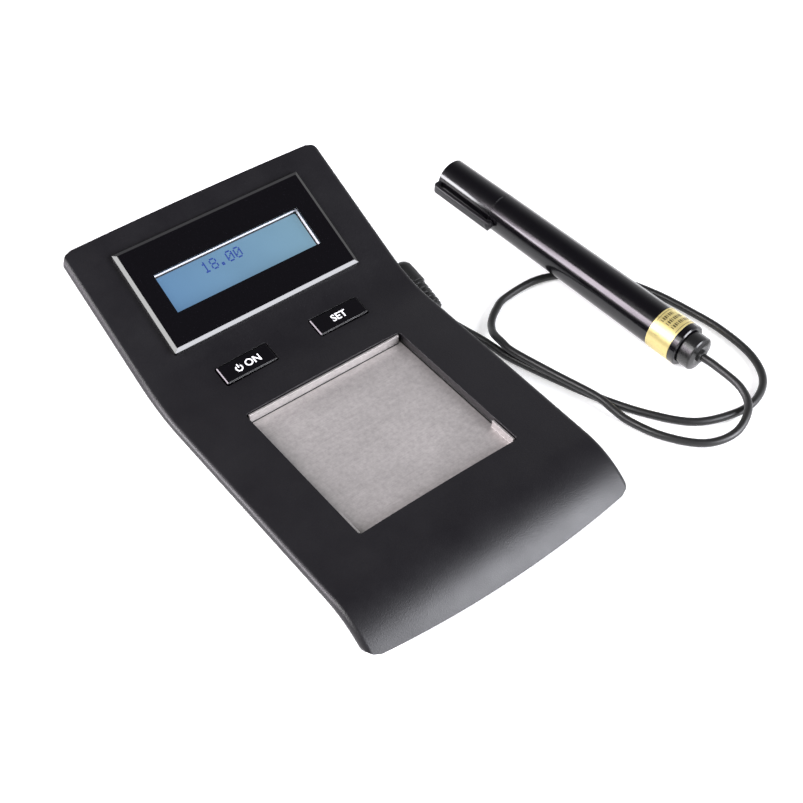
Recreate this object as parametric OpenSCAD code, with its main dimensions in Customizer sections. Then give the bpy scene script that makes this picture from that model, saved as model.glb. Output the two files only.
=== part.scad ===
// Electronic gold tester: a desk console with a sloping display, a steel test
// plate and two keys, and a pen probe on a lead. Millimetres, +Z up, Z = 0 is
// the desk. The console faces -Y and the probe lies at its right side.

/* [Cover] */
// Width of the top cover over its rounded rim
cover_w = 116; // [110:1:130]
// Radius of the rounded rim, which is half the cover's edge thickness
rim_r = 2.2; // [2:0.1:2.6]
// Height of the rim's centre line above the desk, along the flat deck
rim_h = 18.9; // [18.4:0.1:24]
// Rise of the cover's middle above its rims
crown_h = 1.5; // [1:0.1:2]
// Thickness of the cover's skin over the hollow
skin_t = 2; // [1.8:0.1:2.4]
// Width of the solid band left along each side of the cover
rim_band = 16; // [13:0.5:17]
// Radius of the nose that curves down to the front lip
nose_r = 31; // [29:0.5:36]
// Angle that the nose turns through
nose_a = 50.5; // [46:0.5:54]
// Angle of the display slope
slope_a = 24.7; // [22:0.1:27]
// Length of the display slope along its surface
slope_l = 57; // [56:0.5:66]
// Radius of the bend between deck and slope
bend_r = 60; // [50:1:70]

/* [Base] */
// Height of the feet
foot_h = 2; // [1.5:0.1:3]
// Half-width of the base at its underside
base_half_w = 37; // [36:0.5:40]
// Half-width of the base's upright upper walls
base_top_half_w = 48; // [46:0.5:52]
// Wall of the base
wall_t = 2.4; // [2:0.1:2.8]
// Floor of the base
floor_t = 3; // [2.8:0.1:3.4]
// Gap left at the seam between base and cover
seam = 0.2; // [0.1:0.05:0.3]

/* [Test plate] */
// Width of the plate's opening
plate_w = 70; // [60:1:72]
// Depth of the plate's opening, front to rear
plate_l = 68; // [60:1:70]
// Depth of the plate's face below the deck at the opening's corners
plate_drop = 4; // [3:0.1:4.6]
// Thickness of the plate
plate_t = 1; // [0.8:0.1:1.2]

/* [Display] */
// Width of the bezel at the foot of its chamfer
bezel_w = 84; // [78:1:90]
// Depth of the bezel at the foot of its chamfer, along the slope
bezel_l = 45.4; // [42:0.2:48]
// Width of the display's window
window_w = 65; // [60:0.5:68]
// Depth of the display's window, along the slope
window_l = 17.2; // [15:0.2:19]
// How far the bezel's flat face stands above the cover's middle
bezel_rise = 1.9; // [1.4:0.1:2.4]
// Depth of the display's glass below the bezel's flat face
glass_drop = 3.4; // [3:0.1:4]

/* [Keys] */
// Width of a key's face
key_w = 22; // [18:0.5:24]
// Depth of a key's face, front to rear
key_l = 8.2; // [7:0.2:9]
// Distance between the two keys' centres
key_pitch = 42; // [38:0.5:44]
// Gap round a key in the cover
key_gap = 0.5; // [0.3:0.05:0.7]
// How far a key stands above the cover
key_rise = 0.8; // [0.6:0.1:1.2]
// Travel of a key
key_travel = 0.8; // [0.5:0.1:1]

/* [Battery] */
// Length of the battery
battery_l = 48.5; // [47:0.5:49]
// Width of the battery
battery_w = 26; // [25:0.5:26.5]
// Thickness of the battery
battery_t = 17; // [16:0.5:17.5]
// Thickness of the sliding battery door
door_t = 2.4; // [2.2:0.1:2.6]

/* [Probe] */
// Length of the pen from its end knob to the end of its cap
pen_l = 140; // [130:1:150]
// Radius of the pen's collar at the knob end
pen_rear_r = 8.9; // [8.6:0.1:9.4]
// Radius of the pen where cap and barrel meet
pen_joint_r = 8.25; // [8:0.05:8.5]
// Radius of the cap's closed end
pen_cap_r = 7.9; // [7.7:0.1:8.2]
// Wall of barrel and cap
pen_wall = 1.5; // [1.3:0.1:1.7]
// Length of the cap
cap_l = 31; // [28:1:36]
// Length of the feed knob
knob_l = 6.5; // [5:0.5:8]
// Radius of the feed knob
knob_r = 7.2; // [6.6:0.1:7.6]
// Length of the foil label round the barrel
label_l = 11; // [8:0.5:14]
// Diameter of the lead
lead_d = 3.2; // [3:0.1:3.4]

/* [Jack] */
// Diameter of the jack's pin
jack_d = 3.5; // [3.3:0.1:3.6]
// Length of the jack's pin
jack_l = 14; // [12:0.5:14.5]
// Radial running clearance of pins in their sleeves
run_gap = 0.08; // [0.05:0.01:0.1]
// How far the hanging plug turns down towards the desk
plug_droop = 12; // [8:1:14]

/* [Hidden] */
$fn = 96;

// where the console's plate centre stands in the set
console_x = -40;
console_y = -24;
// flat deck, front to rear, about the plate's centre
deck_front = -46;
deck_rear = 43.2;
// small gap that keeps neighbouring pieces apart
gap = 0.2;
eps = 0.01;

// cover lines
half_line = cover_w / 2 - rim_r;
crown_steps = 16;
rim_steps = 10;
nose_steps = 12;
bend_steps = 6;
function crown_at(x) = crown_h * (1 - pow(x / half_line, 2));
bend_y = deck_rear + bend_r * sin(slope_a);
bend_z = rim_h + bend_r * (1 - cos(slope_a));
hollow_half_w = cover_w / 2 - rim_band;
hollow_n = rim_r - skin_t;
hollow_low = -rim_r - 3;
hollow_nose_a = nose_a - 17;
hollow_slope_l = slope_l - 8;
// the trimming outlines pass just outside the rims
trim_w = cover_w + 0.04;
corner_front_r = 6;
corner_rear_r = 5;
nose_bow = 3.2;
// the sweep runs on past the trimmed front edge
nose_over = 3;
big = 400;
// reach of cuts that pass right through a wall
through = 20;

// plate: the opening's corners lie on the crowned deck
deck_z = rim_h + rim_r + crown_at(plate_w / 2);
plate_top = deck_z - plate_drop;
plate_lip_t = 0.8;
plate_gap = 0.3;
plate_tab_l = 11.5;
contact_x = 20;
contact_y = 20;
contact_r = 1.3;
contact_t = 0.6;
holder_wall = 2.4;
holder_floor = 1.5;
holder_top = rim_h + hollow_n - gap;
holder_bottom = plate_top - plate_t - holder_floor;

// base
base_front_y = -56;
base_front_top_y = -62;
base_rear_y = 110;
base_rear_top_y = 113;
wall_lean = (base_top_half_w - base_half_w) / 18.7;
floor_z = foot_h + floor_t;
foot_x = 22;
foot_front_y = -44;
foot_rear_y = 62;
foot_r = 5.4;

// screws, drawn at their core diameter
screw_r = 1.25;
screw_head_r = 2.8;
screw_head_h = 2.2;
screw_hole_r = 1.7;
pilot_r = 1.3;
post_r = 4;
boss_r = 3.6;
post_top = 9;
case_screw_l = 11;
case_screw_seat = 6;
front_screw_x = 30;
front_screw_y = -47;
rear_screw_x = 32;
rear_screw_y = 68.5;

// keys, in a frame that lies in the cover's surface under them
key_y = 54.2;
key_tilt = asin((key_y - deck_rear) / bend_r);
key_line_z = rim_h + bend_r * (1 - cos(key_tilt));
key_top = rim_r + crown_at(key_pitch / 2) + key_rise;
key_flange = 1.4;
key_flange_t = 1.2;
key_chamfer = 0.4;
stem_r = 1.6;
stem_end = -6.2;
switch_w = 6.2;
switch_top = -4.6;
switch_h = 3.6;
key_board_top = switch_top - switch_h;
board_t = 1.6;
key_board_w = 75.6;
key_board_l = 11;
key_post_x = key_pitch / 2 + key_w / 2 + key_flange + 2.8;
key_post_r = 2;
key_screw_r = 0.72;
key_pilot_r = 0.8;

// display, in a frame that lies along the slope's centre line
disp_y = 90.8;
disp_s = (disp_y - bend_y) / cos(slope_a);
bezel_top = rim_r + crown_h + bezel_rise;
bezel_chamfer_w = 1.6;
bezel_chamfer_h = 0.9;
bezel_face_t = 1.1;
bezel_inset = 2;
bezel_foot = hollow_n - 0.8;
window_y = -0.3;
glass_top = bezel_top - glass_drop;
frame_top = bezel_top - bezel_face_t;
// the frame reaches past the window on every side
frame_w = window_w + 7;
frame_l = window_l + 7.8;
frame_wall = 0.8;
glass_t = 2;
light_t = 3;
lcd_board_top = glass_top - glass_t - light_t;
lcd_post_r = 2;
lcd_screw_x = bezel_w / 2 - bezel_inset - gap - lcd_post_r - 0.6;
lcd_screw_y = frame_l / 2 + lcd_post_r + 0.5;
lcd_board_w = 2 * (lcd_screw_x + lcd_post_r + 0.3);
lcd_board_l = 2 * (lcd_screw_y + lcd_post_r);
lcd_screw_r = 0.82;
lcd_hole_r = 1.2;

// battery with its snap beside it, over a door that slides out rearwards
battery_y = 94;
battery_z = foot_h + door_t + 0.3;
snap_t = 5.5;
bay_half_w = (battery_l + snap_t) / 2;
battery_x = -snap_t / 2;
bay_wall_t = 1.6;
bay_wall_h = 5;
bay_gap = 0.4;
door_half_w = bay_half_w + 0.9;
door_front = battery_y - battery_w / 2 - 1.6;
tongue_t = 0.9;
tongue_w = 1.5;
tongue_z = foot_h + 1.1;
door_gap = 0.25;

// power inlet in the rear wall
dc_bushing_r = 4;
dc_box_w = 9;
dc_box_h = 11;
dc_box_l = 13.4;
dc_bore_r = 2.8;
dc_bore_l = 8.5;
dc_pin_r = 1;
// beside the battery and over the bay's wall
dc_x = -bay_half_w - bay_gap - gap - dc_box_w / 2;
dc_z = floor_z + bay_wall_h + gap + dc_box_h / 2;

// main board
main_top = floor_z + 5.6;
main_half_w = 35;
main_front = -41;
main_rear = 42;
standoff_r = 2.6;
board_hole_r = 1.6;
board_pilot_r = 0.9;
board_screw_r = 0.85;
standoff_x = 31;
standoff_front = -36;
standoff_rear = 37;

// blocks on the main board: place, width, depth and height
chips = [[-6, 0, 12, 12, 1.6], [14, -18, 9, 6, 1.6], [-22, -16, 9, 6, 1.6],
  [-22, 14, 5, 7, 1.6], [2, 24, 8, 4, 2.2], [0, -30, 6, 14, 2.4]];
// round cans on the main board: place, radius and height
cans = [[-8, -22, 2.5, 4], [8, 14, 2, 4], [24, -6, 2.5, 4], [-28, 0, 2, 4]];

// probe socket and plug
jack_y = 66;
jack_z = 12;
pod_face = cover_w / 2 - 1;
pod_half_l = 8;
pod_half_h = 7.2;
pod_wall = 2.2;
pod_corner_r = 2.5;
socket_l = 13.4;
socket_w = 10;
socket_h = 9.2;
bushing_r = 3;
bushing_gap = 0.15;
bushing_face = pod_face + 0.4;
plug_face = bushing_face + 0.8;
plug_r = 4.2;
plug_x = plug_face + plug_r + 2;
neck_r = 3.7;
plug_front = -6;
plug_rear = 2.2;
relief_l = 13.5;
relief_r = 3.1;
relief_end_r = 2.5;
relief_ribs = 5;
rib_rise = 0.45;

// pen: its axis starts at the feed knob's end and rises to the cap, because
// the collar rests on the desk and the lead runs under the barrel
pen_x = 88.5;
pen_y = -60.6;
pen_yaw = 4.6;
pen_pitch = 2.6;
pen_z = pen_rear_r * cos(pen_pitch) - (knob_l + 0.5) * sin(pen_pitch) + 0.02;
collar_l = 3;
barrel_rear = knob_l + collar_l;
barrel_end = pen_l - cap_l;
barrel_r = pen_rear_r - 0.15;
function barrel_at(s) = barrel_r
  + (pen_joint_r - barrel_r) * (s - barrel_rear) / (barrel_end - barrel_rear);
spigot_l = 8;
spigot_gap = 0.3;
spigot_r = pen_joint_r - pen_wall - spigot_gap;
pen_bore_r = spigot_r - 0.7;
label_t = 0.15;
sleeve_r = 2.6;
sleeve_end = 30;
// how far the lead's sleeve stands out of the feed knob
sleeve_out = 1;
knob_gap = 0.3;
knob_shank_r = 4.2;
knob_shank_l = 12;
shank_gap = 0.1;
feed_r = 4.4;
feed_start = 24;
feed_end = 52;
cartridge_r = pen_bore_r - 0.25;
cartridge_start = 34;
nose_l = 14;
tip_r = 1.5;
tip_l = 5;
clip_l = 35;
clip_t = 1.8;
clip_w = 4;
clip_reach = 3.2;
clip_ball_r = 2;
clip_gap = 0.06;

// wires inside the console
wire_d = 1.2;
lead_x = key_pitch / 2 + switch_w / 2 + 1.9;
snap_l = 24;
header_y = 38;
header_l = 4;
header_h = 2.6;
ribbon_x = 9;
ribbon_w = 10;
ribbon_t = 0.5;
ribbon_gap = 0.05;

// free lead: route on the desk from the plug's relief to the pen's knob
relief_end = [0, plug_front - relief_l, 0];
exit_x = console_x + plug_x;
exit_y = console_y + jack_y + relief_end[1] * cos(plug_droop);
exit_z = jack_z + relief_end[1] * sin(plug_droop);
lead_exit = [exit_x, exit_y, exit_z];
lead_points = [
  [24.5, 19.4, 7.2], [25.7, 15.4, 5.6], [27.8, 11.4, 3.9], [31.6, 2.8, 1.8],
  [32.7, -4, 1.7], [34, -12, 1.7], [39.8, -30, 1.7], [46.6, -48.5, 1.7],
  [55.4, -65.6, 1.7], [66.6, -79.6, 1.7], [81, -85.7, 1.7], [93, -86.2, 1.7],
  [104.2, -80.4, 1.7], [110.6, -68.2, 1.7], [111.8, -51, 1.7],
  [109.6, -35.6, 1.7], [106, -20, 1.7], [99.4, -4.4, 1.7], [88.4, 8.4, 1.7],
  [73.4, 16, 1.7], [55.4, 15.8, 1.7], [47.6, 12.8, 1.7], [41.8, 8.8, 1.8],
  [38.2, 4.6, 2.5], [36, 0.6, 3.7], [34.8, -5, 4.9], [34.5, -12, 5.2],
  [38.9, -30.2, 5.1], [44.4, -49, 4.5], [45.9, -57, 2.9], [47.3, -64.4, 1.8],
  [52.2, -77.6, 1.7], [62, -89.6, 1.7], [74.2, -93.4, 2.6], [85, -89.4, 5],
  [89.5, -81, 6.9], [89.4, -68.6, 8.1]];
lead_rest_z = 1.7;
lead_sides = 8;

// ---- placing ----

module on_console() {
  translate([console_x, console_y, 0]) children();
}

// frame in the cover's surface at the keys, Z square to it
module on_keys() {
  on_console()
    translate([0, key_y, key_line_z])
      rotate([key_tilt, 0, 0])
        children();
}

// frame along the display slope, Z square to it
module on_slope() {
  on_console()
    translate([0, bend_y, bend_z])
      rotate([slope_a, 0, 0])
        translate([0, disp_s, 0])
          children();
}

// frame at the plug: the pin points along -X, the lead leaves along -Y
module on_plug() {
  on_console()
    translate([0, jack_y, jack_z])
      rotate([plug_droop, 0, 0])
        children();
}

// pen frame: +Z runs from the knob's end to the cap, -X faces the console
module on_pen() {
  translate([pen_x, pen_y, pen_z])
    rotate([0, 0, pen_yaw])
      rotate([pen_pitch - 90, 0, 0])
        children();
}

// ---- shapes that repeat ----

module box(low, high) {
  translate(low) cube(high - low);
}

module round_rect(w, l, r) {
  square([w - 2 * r, l], center = true);
  square([w, l - 2 * r], center = true);
  for (sx = [-1, 1])
    for (sy = [-1, 1])
      translate([sx * (w / 2 - r), sy * (l / 2 - r)])
        circle(r = r, $fn = 48);
}

// ring of stations [height, radius] turned about Z
module turned(stations) {
  rotate_extrude()
    polygon(concat([[0, stations[0][0]]],
      [for (s = stations) [s[1], s[0]]],
      [[0, stations[len(stations) - 1][0]]]));
}

function unit(v) = v / norm(v);
function tangent(p, i) =
  unit(p[min(i + 1, len(p) - 1)] - p[max(i - 1, 0)]);
function side_of(t) = unit(cross([0, 0, 1], t));
function rings(p, r, sides, first, last) =
  [for (i = [0 : len(p) - 1])
    let (t = i == 0 ? first : i == len(p) - 1 ? last : tangent(p, i))
    let (a = side_of(t))
    let (b = cross(t, a))
    for (k = [0 : sides - 1])
      p[i] + r * (a * cos(k * 360 / sides) + b * sin(k * 360 / sides))];

// point midway between p[i] and p[i + 1] on a smooth curve, kept off the desk
function middle(p, i, low) =
  let (a = p[i], b = p[i + 1])
  let (before = i > 0 ? p[i - 1] : 2 * a - b)
  let (after = i + 2 < len(p) ? p[i + 2] : 2 * b - a)
  let (m = (9 * (a + b) - before - after) / 16)
  [m[0], m[1], max(m[2], low)];
function smooth(p, low) = concat(
  [for (i = [0 : len(p) - 2]) for (q = [p[i], middle(p, i, low)]) q],
  [p[len(p) - 1]]);

// one closed tube along points, its ends square to the directions given
module tube(p, d, sides, first, last) {
  n = len(p);
  polyhedron(
    points = rings(p, d / 2, sides, first, last),
    faces = concat(
      [[for (k = [0 : sides - 1]) k]],
      [[for (k = [sides - 1 : -1 : 0]) (n - 1) * sides + k]],
      [for (i = [0 : n - 2]) for (k = [0 : sides - 1])
        [i * sides + (k + 1) % sides, i * sides + k,
         (i + 1) * sides + k]],
      [for (i = [0 : n - 2]) for (k = [0 : sides - 1])
        [i * sides + (k + 1) % sides, (i + 1) * sides + k,
         (i + 1) * sides + (k + 1) % sides]]));
}

// ---- cover ----

function arc(centre, r, from, to, steps) =
  [for (k = [0 : steps])
    let (a = from + (to - from) * k / steps)
    centre + r * [cos(a), sin(a)]];

// outline across the cover, clockwise: crowned on top, round at both rims
crown_line = [for (i = [1 : crown_steps - 1])
  let (x = half_line * (2 * i / crown_steps - 1))
  [x, rim_r + crown_at(x)]];
cover_outline = concat(arc([-half_line, 0], rim_r, 270, 90, rim_steps),
  crown_line, arc([half_line, 0], rim_r, 90, -90, rim_steps));

// the space under the cover, between its solid side bands
hollow_outline = [[-hollow_half_w, hollow_n], [hollow_half_w, hollow_n],
  [hollow_half_w, hollow_low], [-hollow_half_w, hollow_low]];

// stations [y, z, tilt] along the cover's centre line, front to rear
function stations(turn, reach) = concat(
  [for (k = [nose_steps : -1 : 0])
    let (t = turn * k / nose_steps)
    [deck_front - nose_r * sin(t), rim_h - nose_r * (1 - cos(t)), t]],
  [for (k = [0 : bend_steps])
    let (t = slope_a * k / bend_steps)
    [deck_rear + bend_r * sin(t), rim_h + bend_r * (1 - cos(t)), t]],
  [[bend_y + reach * cos(slope_a), bend_z + reach * sin(slope_a), slope_a]]);

// solid of an outline carried along stations
module swept(outline, along) {
  n = len(outline);
  last = len(along) - 1;
  polyhedron(
    points = [for (s = along) for (p = outline)
      [p[0], s[0] - p[1] * sin(s[2]), s[1] + p[1] * cos(s[2])]],
    faces = concat(
      [[for (k = [0 : n - 1]) k]],
      [[for (k = [n - 1 : -1 : 0]) last * n + k]],
      [for (i = [0 : last - 1]) for (k = [0 : n - 1])
        let (next = (k + 1) % n)
        [i * n + k, (i + 1) * n + k, (i + 1) * n + next, i * n + next]]));
}

// front edge of the cover seen square to the lip: bowed, with round corners
module front_outline() {
  bow_r = cover_w * cover_w / 8 / nose_bow;
  cx = trim_w / 2 - corner_front_r;
  reach_r = bow_r - corner_front_r;
  cy = bow_r - sqrt(reach_r * reach_r - cx * cx);
  meet = atan2(bow_r - cy, cx);
  polygon(concat([[trim_w / 2, big], [-trim_w / 2, big]],
    arc([-cx, cy], corner_front_r, 180, 180 + meet, 5),
    arc([0, bow_r], bow_r, 180 + meet + 0.5, 359.5 - meet, 8),
    arc([cx, cy], corner_front_r, 360 - meet, 360, 5)));
}

// rear corners seen square to the slope; the straight end is the sweep's own
module rear_outline() {
  x = trim_w / 2;
  corner = arc([x - corner_rear_r, -corner_rear_r], corner_rear_r, 0, 90, 5);
  past = corner[4] + 2 * (corner[5] - corner[4]);
  right = concat([[x, -big], for (k = [0 : 4]) corner[k]], [past, [past[0], big]]);
  left = [for (k = [len(right) - 1 : -1 : 0]) [-right[k][0], right[k][1]]];
  polygon(concat(right, left));
}

module cover_trim() {
  intersection() {
    translate([0, deck_front - nose_r * sin(nose_a),
        rim_h - nose_r * (1 - cos(nose_a))])
      rotate([nose_a, 0, 0])
        translate([0, 0, -big / 2])
          linear_extrude(big)
            front_outline();
    translate([0, bend_y, bend_z])
      rotate([slope_a, 0, 0])
        translate([0, slope_l, -big / 2])
          linear_extrude(big)
            rear_outline();
  }
}

// cover bosses that take the case screws
module cover_bosses() {
  for (side = [-1, 1]) {
    translate([side * front_screw_x, front_screw_y, post_top + gap])
      cylinder(r = boss_r, h = rim_h + 1 - post_top - gap);
    translate([side * rear_screw_x, rear_screw_y, post_top + gap])
      cylinder(r = boss_r, h = bend_z + 1.6 - post_top - gap);
  }
}

module cover_pilots() {
  for (side = [-1, 1]) {
    translate([side * front_screw_x, front_screw_y, post_top])
      cylinder(r = pilot_r, h = case_screw_l - (post_top - case_screw_seat) + 1);
    translate([side * rear_screw_x, rear_screw_y, post_top])
      cylinder(r = pilot_r, h = case_screw_l - (post_top - case_screw_seat) + 1);
  }
}

// posts under the cover that carry the key board
module key_posts() {
  translate([0, key_y, key_line_z])
    rotate([key_tilt, 0, 0])
      for (x = [-key_post_x, 0, key_post_x])
        translate([x, 0, key_board_top])
          difference() {
            cylinder(r = key_post_r, h = hollow_n + 0.4 - key_board_top);
            translate([0, 0, -eps]) cylinder(r = key_pilot_r, h = 5);
          }
}

module top_cover() {
  color([0.14, 0.13, 0.15])
    on_console() {
      difference() {
        intersection() {
          swept(cover_outline, stations(nose_a + nose_over, slope_l));
          cover_trim();
        }
        swept(hollow_outline, stations(hollow_nose_a, hollow_slope_l));
        // plate opening
        translate([0, 0, rim_h - 5])
          linear_extrude(through)
            round_rect(plate_w, plate_l, 1);
        // display opening
        translate([0, bend_y, bend_z])
          rotate([slope_a, 0, 0])
            translate([0, disp_s, -5])
              linear_extrude(through)
                round_rect(bezel_w - 2 * bezel_inset,
                  bezel_l - 2 * bezel_inset, 1.5);
        // key openings
        translate([0, key_y, key_line_z])
          rotate([key_tilt, 0, 0])
            for (side = [-1, 1])
              translate([side * key_pitch / 2, 0, -3])
                linear_extrude(through)
                  round_rect(key_w + 2 * key_gap, key_l + 2 * key_gap, 1);
      }
      difference() {
        cover_bosses();
        cover_pilots();
      }
      key_posts();
    }
}

// ---- base ----

// side view of the space under the cover, down to drop below its centre line
module under_profile(drop) {
  in_r = nose_r - drop;
  out_r = bend_r + drop;
  low = rim_h - drop;
  end_y = deck_rear + out_r * sin(slope_a);
  end_z = low + out_r * (1 - cos(slope_a));
  far = 80;
  translate([deck_front, 0]) square([deck_rear - deck_front + eps, low]);
  intersection() {
    translate([deck_front, rim_h - nose_r]) circle(r = in_r, $fn = 360);
    translate([deck_front - in_r, 0]) square([in_r + eps, low]);
  }
  difference() {
    polygon([[deck_rear, 0], [deck_rear, low], [end_y, end_z], [end_y, 0]]);
    translate([deck_rear, low + out_r]) circle(r = out_r, $fn = 720);
  }
  polygon([[end_y - eps, 0], [end_y - eps, end_z], [end_y, end_z],
    [end_y + far, end_z + far * tan(slope_a)], [end_y + far, 0]]);
}

module across(w) {
  rotate([90, 0, 90]) linear_extrude(w, center = true) children();
}

// cross-section of the base at a distance inside its outer faces
module base_section(inset, low) {
  side_inset = inset * sqrt(1 + wall_lean * wall_lean);
  foot_x = base_half_w + wall_lean * (low - foot_h) - side_inset;
  top_x = base_top_half_w - inset;
  knee = low + (top_x - foot_x) / wall_lean;
  polygon([[-foot_x, low], [foot_x, low], [top_x, knee], [top_x, 60],
    [-top_x, 60], [-top_x, knee]]);
}

module base_block(inset, low) {
  intersection() {
    rotate([90, 0, 0])
      linear_extrude(big, center = true)
        base_section(inset, low);
    across(big)
      polygon([[base_front_y + inset, foot_h - 1],
        [base_rear_y - inset, foot_h - 1],
        [base_rear_top_y - inset, 60],
        [base_front_top_y + inset - 8, 60],
        [base_front_top_y + inset, 12]]);
  }
}

// plan of the pod that carries the probe socket, round at its outer end
module pod_outline(half_l, reach, r) {
  translate([base_half_w, -half_l])
    square([reach - base_half_w - r, 2 * half_l]);
  translate([base_half_w, -half_l + r])
    square([reach - base_half_w, 2 * (half_l - r)]);
  for (side = [-1, 1])
    translate([reach - r, side * (half_l - r)])
      circle(r = r);
}

module screw_places() {
  for (side = [-1, 1]) {
    translate([side * front_screw_x, front_screw_y, 0]) children();
    translate([side * rear_screw_x, rear_screw_y, 0]) children();
  }
}

module standoff_places() {
  for (side = [-1, 1])
    for (y = [standoff_front, standoff_rear])
      translate([side * standoff_x, y, 0]) children();
}

module base_shell() {
  color([0.12, 0.12, 0.13])
    on_console()
      difference() {
        union() {
          difference() {
            intersection() {
              union() {
                base_block(0, foot_h);
                translate([0, jack_y, jack_z - pod_half_h])
                  linear_extrude(2 * pod_half_h)
                    pod_outline(pod_half_l, pod_face, pod_corner_r);
              }
              across(big) under_profile(rim_r + seam);
            }
            base_block(wall_t, floor_z);
            // room for the socket inside the pod
            box([base_half_w - 3, jack_y - pod_half_l + pod_wall,
                jack_z - pod_half_h + pod_wall],
              [pod_face - pod_wall, jack_y + pod_half_l - pod_wall,
                jack_z + pod_half_h - pod_wall]);
          }
          screw_places()
            translate([0, 0, foot_h]) cylinder(r = post_r, h = post_top - foot_h);
          standoff_places()
            translate([0, 0, floor_z - eps])
              cylinder(r = standoff_r, h = main_top - board_t - floor_z + eps);
          // battery bay walls
          box([-bay_half_w - bay_gap - bay_wall_t,
              battery_y - battery_w / 2 - bay_gap - bay_wall_t, floor_z - eps],
            [bay_half_w + bay_gap, battery_y - battery_w / 2 - bay_gap,
              floor_z + bay_wall_h]);
          box([-bay_half_w - bay_gap - bay_wall_t,
              battery_y - battery_w / 2 - bay_gap, floor_z - eps],
            [-bay_half_w - bay_gap, battery_y + battery_w / 2,
              floor_z + bay_wall_h]);
        }
        screw_places() {
          translate([0, 0, foot_h - 1])
            cylinder(r = screw_head_r + 0.4, h = case_screw_seat - foot_h + 1);
          cylinder(r = screw_hole_r, h = post_top + 1);
        }
        standoff_places()
          translate([0, 0, floor_z - 1])
            cylinder(r = board_pilot_r, h = main_top);
        // way of the battery door
        box([-door_half_w - door_gap, door_front - door_gap, foot_h - 1],
          [door_half_w + door_gap, base_rear_y + 8, foot_h + door_t + door_gap]);
        box([-door_half_w - tongue_w - door_gap, door_front - door_gap,
            tongue_z - door_gap],
          [door_half_w + tongue_w + door_gap, base_rear_y + 8,
            tongue_z + tongue_t + door_gap]);
        // hole over the door for the battery
        box([-bay_half_w - bay_gap, battery_y - battery_w / 2 - bay_gap, foot_h],
          [bay_half_w + bay_gap, battery_y + battery_w / 2 + bay_gap,
            floor_z + 1]);
        // probe socket's bushing
        translate([base_half_w, jack_y, jack_z])
          rotate([0, 90, 0])
            cylinder(r = bushing_r + bushing_gap, h = pod_face);
        // power inlet
        translate([dc_x, base_rear_y - 10, dc_z])
          rotate([-90, 0, 0])
            cylinder(r = dc_bushing_r + bushing_gap, h = through);
      }
}

module feet() {
  color([0.2, 0.2, 0.21])
    on_console()
      for (side = [-1, 1])
        for (y = [foot_front_y, foot_rear_y])
          translate([side * foot_x, y, 0])
            turned([[0, foot_r - 0.8], [foot_h - 0.6, foot_r],
              [foot_h, foot_r]]);
}

module case_screws() {
  color([0.55, 0.55, 0.57])
    on_console()
      screw_places()
        difference() {
          turned([[case_screw_seat - screw_head_h, screw_head_r - 0.4],
            [case_screw_seat - screw_head_h + 0.5, screw_head_r],
            [case_screw_seat, screw_head_r],
            [case_screw_seat, screw_r],
            [case_screw_seat + case_screw_l - 1, screw_r],
            [case_screw_seat + case_screw_l, 0.5]]);
          translate([0, 0, case_screw_seat - screw_head_h - eps])
            for (turn = [0, 90])
              rotate(turn)
                translate([-1.6, -0.35, 0]) cube([3.2, 0.7, 1.2]);
        }
}

// ---- test plate ----

module plate_holder() {
  color([0.09, 0.09, 0.1])
    on_console()
      difference() {
        translate([0, 0, holder_bottom])
          linear_extrude(holder_top - holder_bottom)
            round_rect(plate_w + 2 * holder_wall,
              plate_l + 2 * holder_wall, 2);
        translate([0, 0, plate_top - plate_t])
          linear_extrude(through)
            round_rect(plate_w, plate_l, 1);
        translate([contact_x, contact_y, holder_bottom - 1])
          cylinder(r = contact_r + plate_gap, h = 6);
      }
}

// steel plate with a lip folded up at the rear and a tab at each side
module test_plate() {
  w = plate_w - 2 * plate_gap;
  l = plate_l - 2 * plate_gap;
  corner = 0.8;
  lip_top = deck_z - 0.4;
  tab_top = lip_top - 0.5;
  tab_h = tab_top - plate_top + 1;
  color([0.72, 0.71, 0.7])
    on_console() {
      translate([0, 0, plate_top - plate_t])
        linear_extrude(plate_t)
          round_rect(w, l, corner);
      box([-w / 2 + corner, l / 2 - plate_lip_t, plate_top - plate_t + 0.2],
        [w / 2 - corner, l / 2, lip_top]);
      for (side = [-1, 1])
        translate([side * (w - plate_lip_t) / 2,
            -l / 2 + corner + plate_tab_l / 2, tab_top - tab_h / 2])
          cube([plate_lip_t, plate_tab_l, tab_h], center = true);
    }
}

// contact under the plate and its wire down to the main board
module plate_lead() {
  top = plate_top - plate_t - contact_t;
  color([0.65, 0.1, 0.08])
    on_console() {
      translate([contact_x, contact_y, top])
        cylinder(r = contact_r, h = contact_t);
      tube([[contact_x, contact_y, top + 0.1],
          [contact_x, contact_y - 0.1, top - 0.9],
          [contact_x, contact_y - 0.8, top - 2.4],
          [contact_x, contact_y - 1.5, main_top + 0.8],
          [contact_x, contact_y - 1.6, main_top]],
        wire_d, 8, [0, -0.001, -1], [0, -0.001, -1]);
    }
}

// ---- boards ----

module main_board() {
  color([0.1, 0.32, 0.16])
    on_console()
      difference() {
        box([-main_half_w, main_front, main_top - board_t],
          [main_half_w, main_rear, main_top]);
        standoff_places()
          translate([0, 0, main_top - 5])
            cylinder(r = board_hole_r, h = through);
      }
}

module chip(x, y, w, l, h) {
  translate([x - w / 2, y - l / 2, main_top]) cube([w, l, h]);
}

module can(x, y, r, h) {
  translate([x, y, main_top]) cylinder(r = r, h = h, $fn = 48);
}

module board_parts() {
  color([0.16, 0.16, 0.18])
    on_console() {
      for (c = chips) chip(c[0], c[1], c[2], c[3], c[4]);
      for (c = cans) can(c[0], c[1], c[2], c[3]);
      // header that takes the display's ribbon
      chip(ribbon_x, header_y, ribbon_w + 4, header_l, header_h);
    }
}

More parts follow.
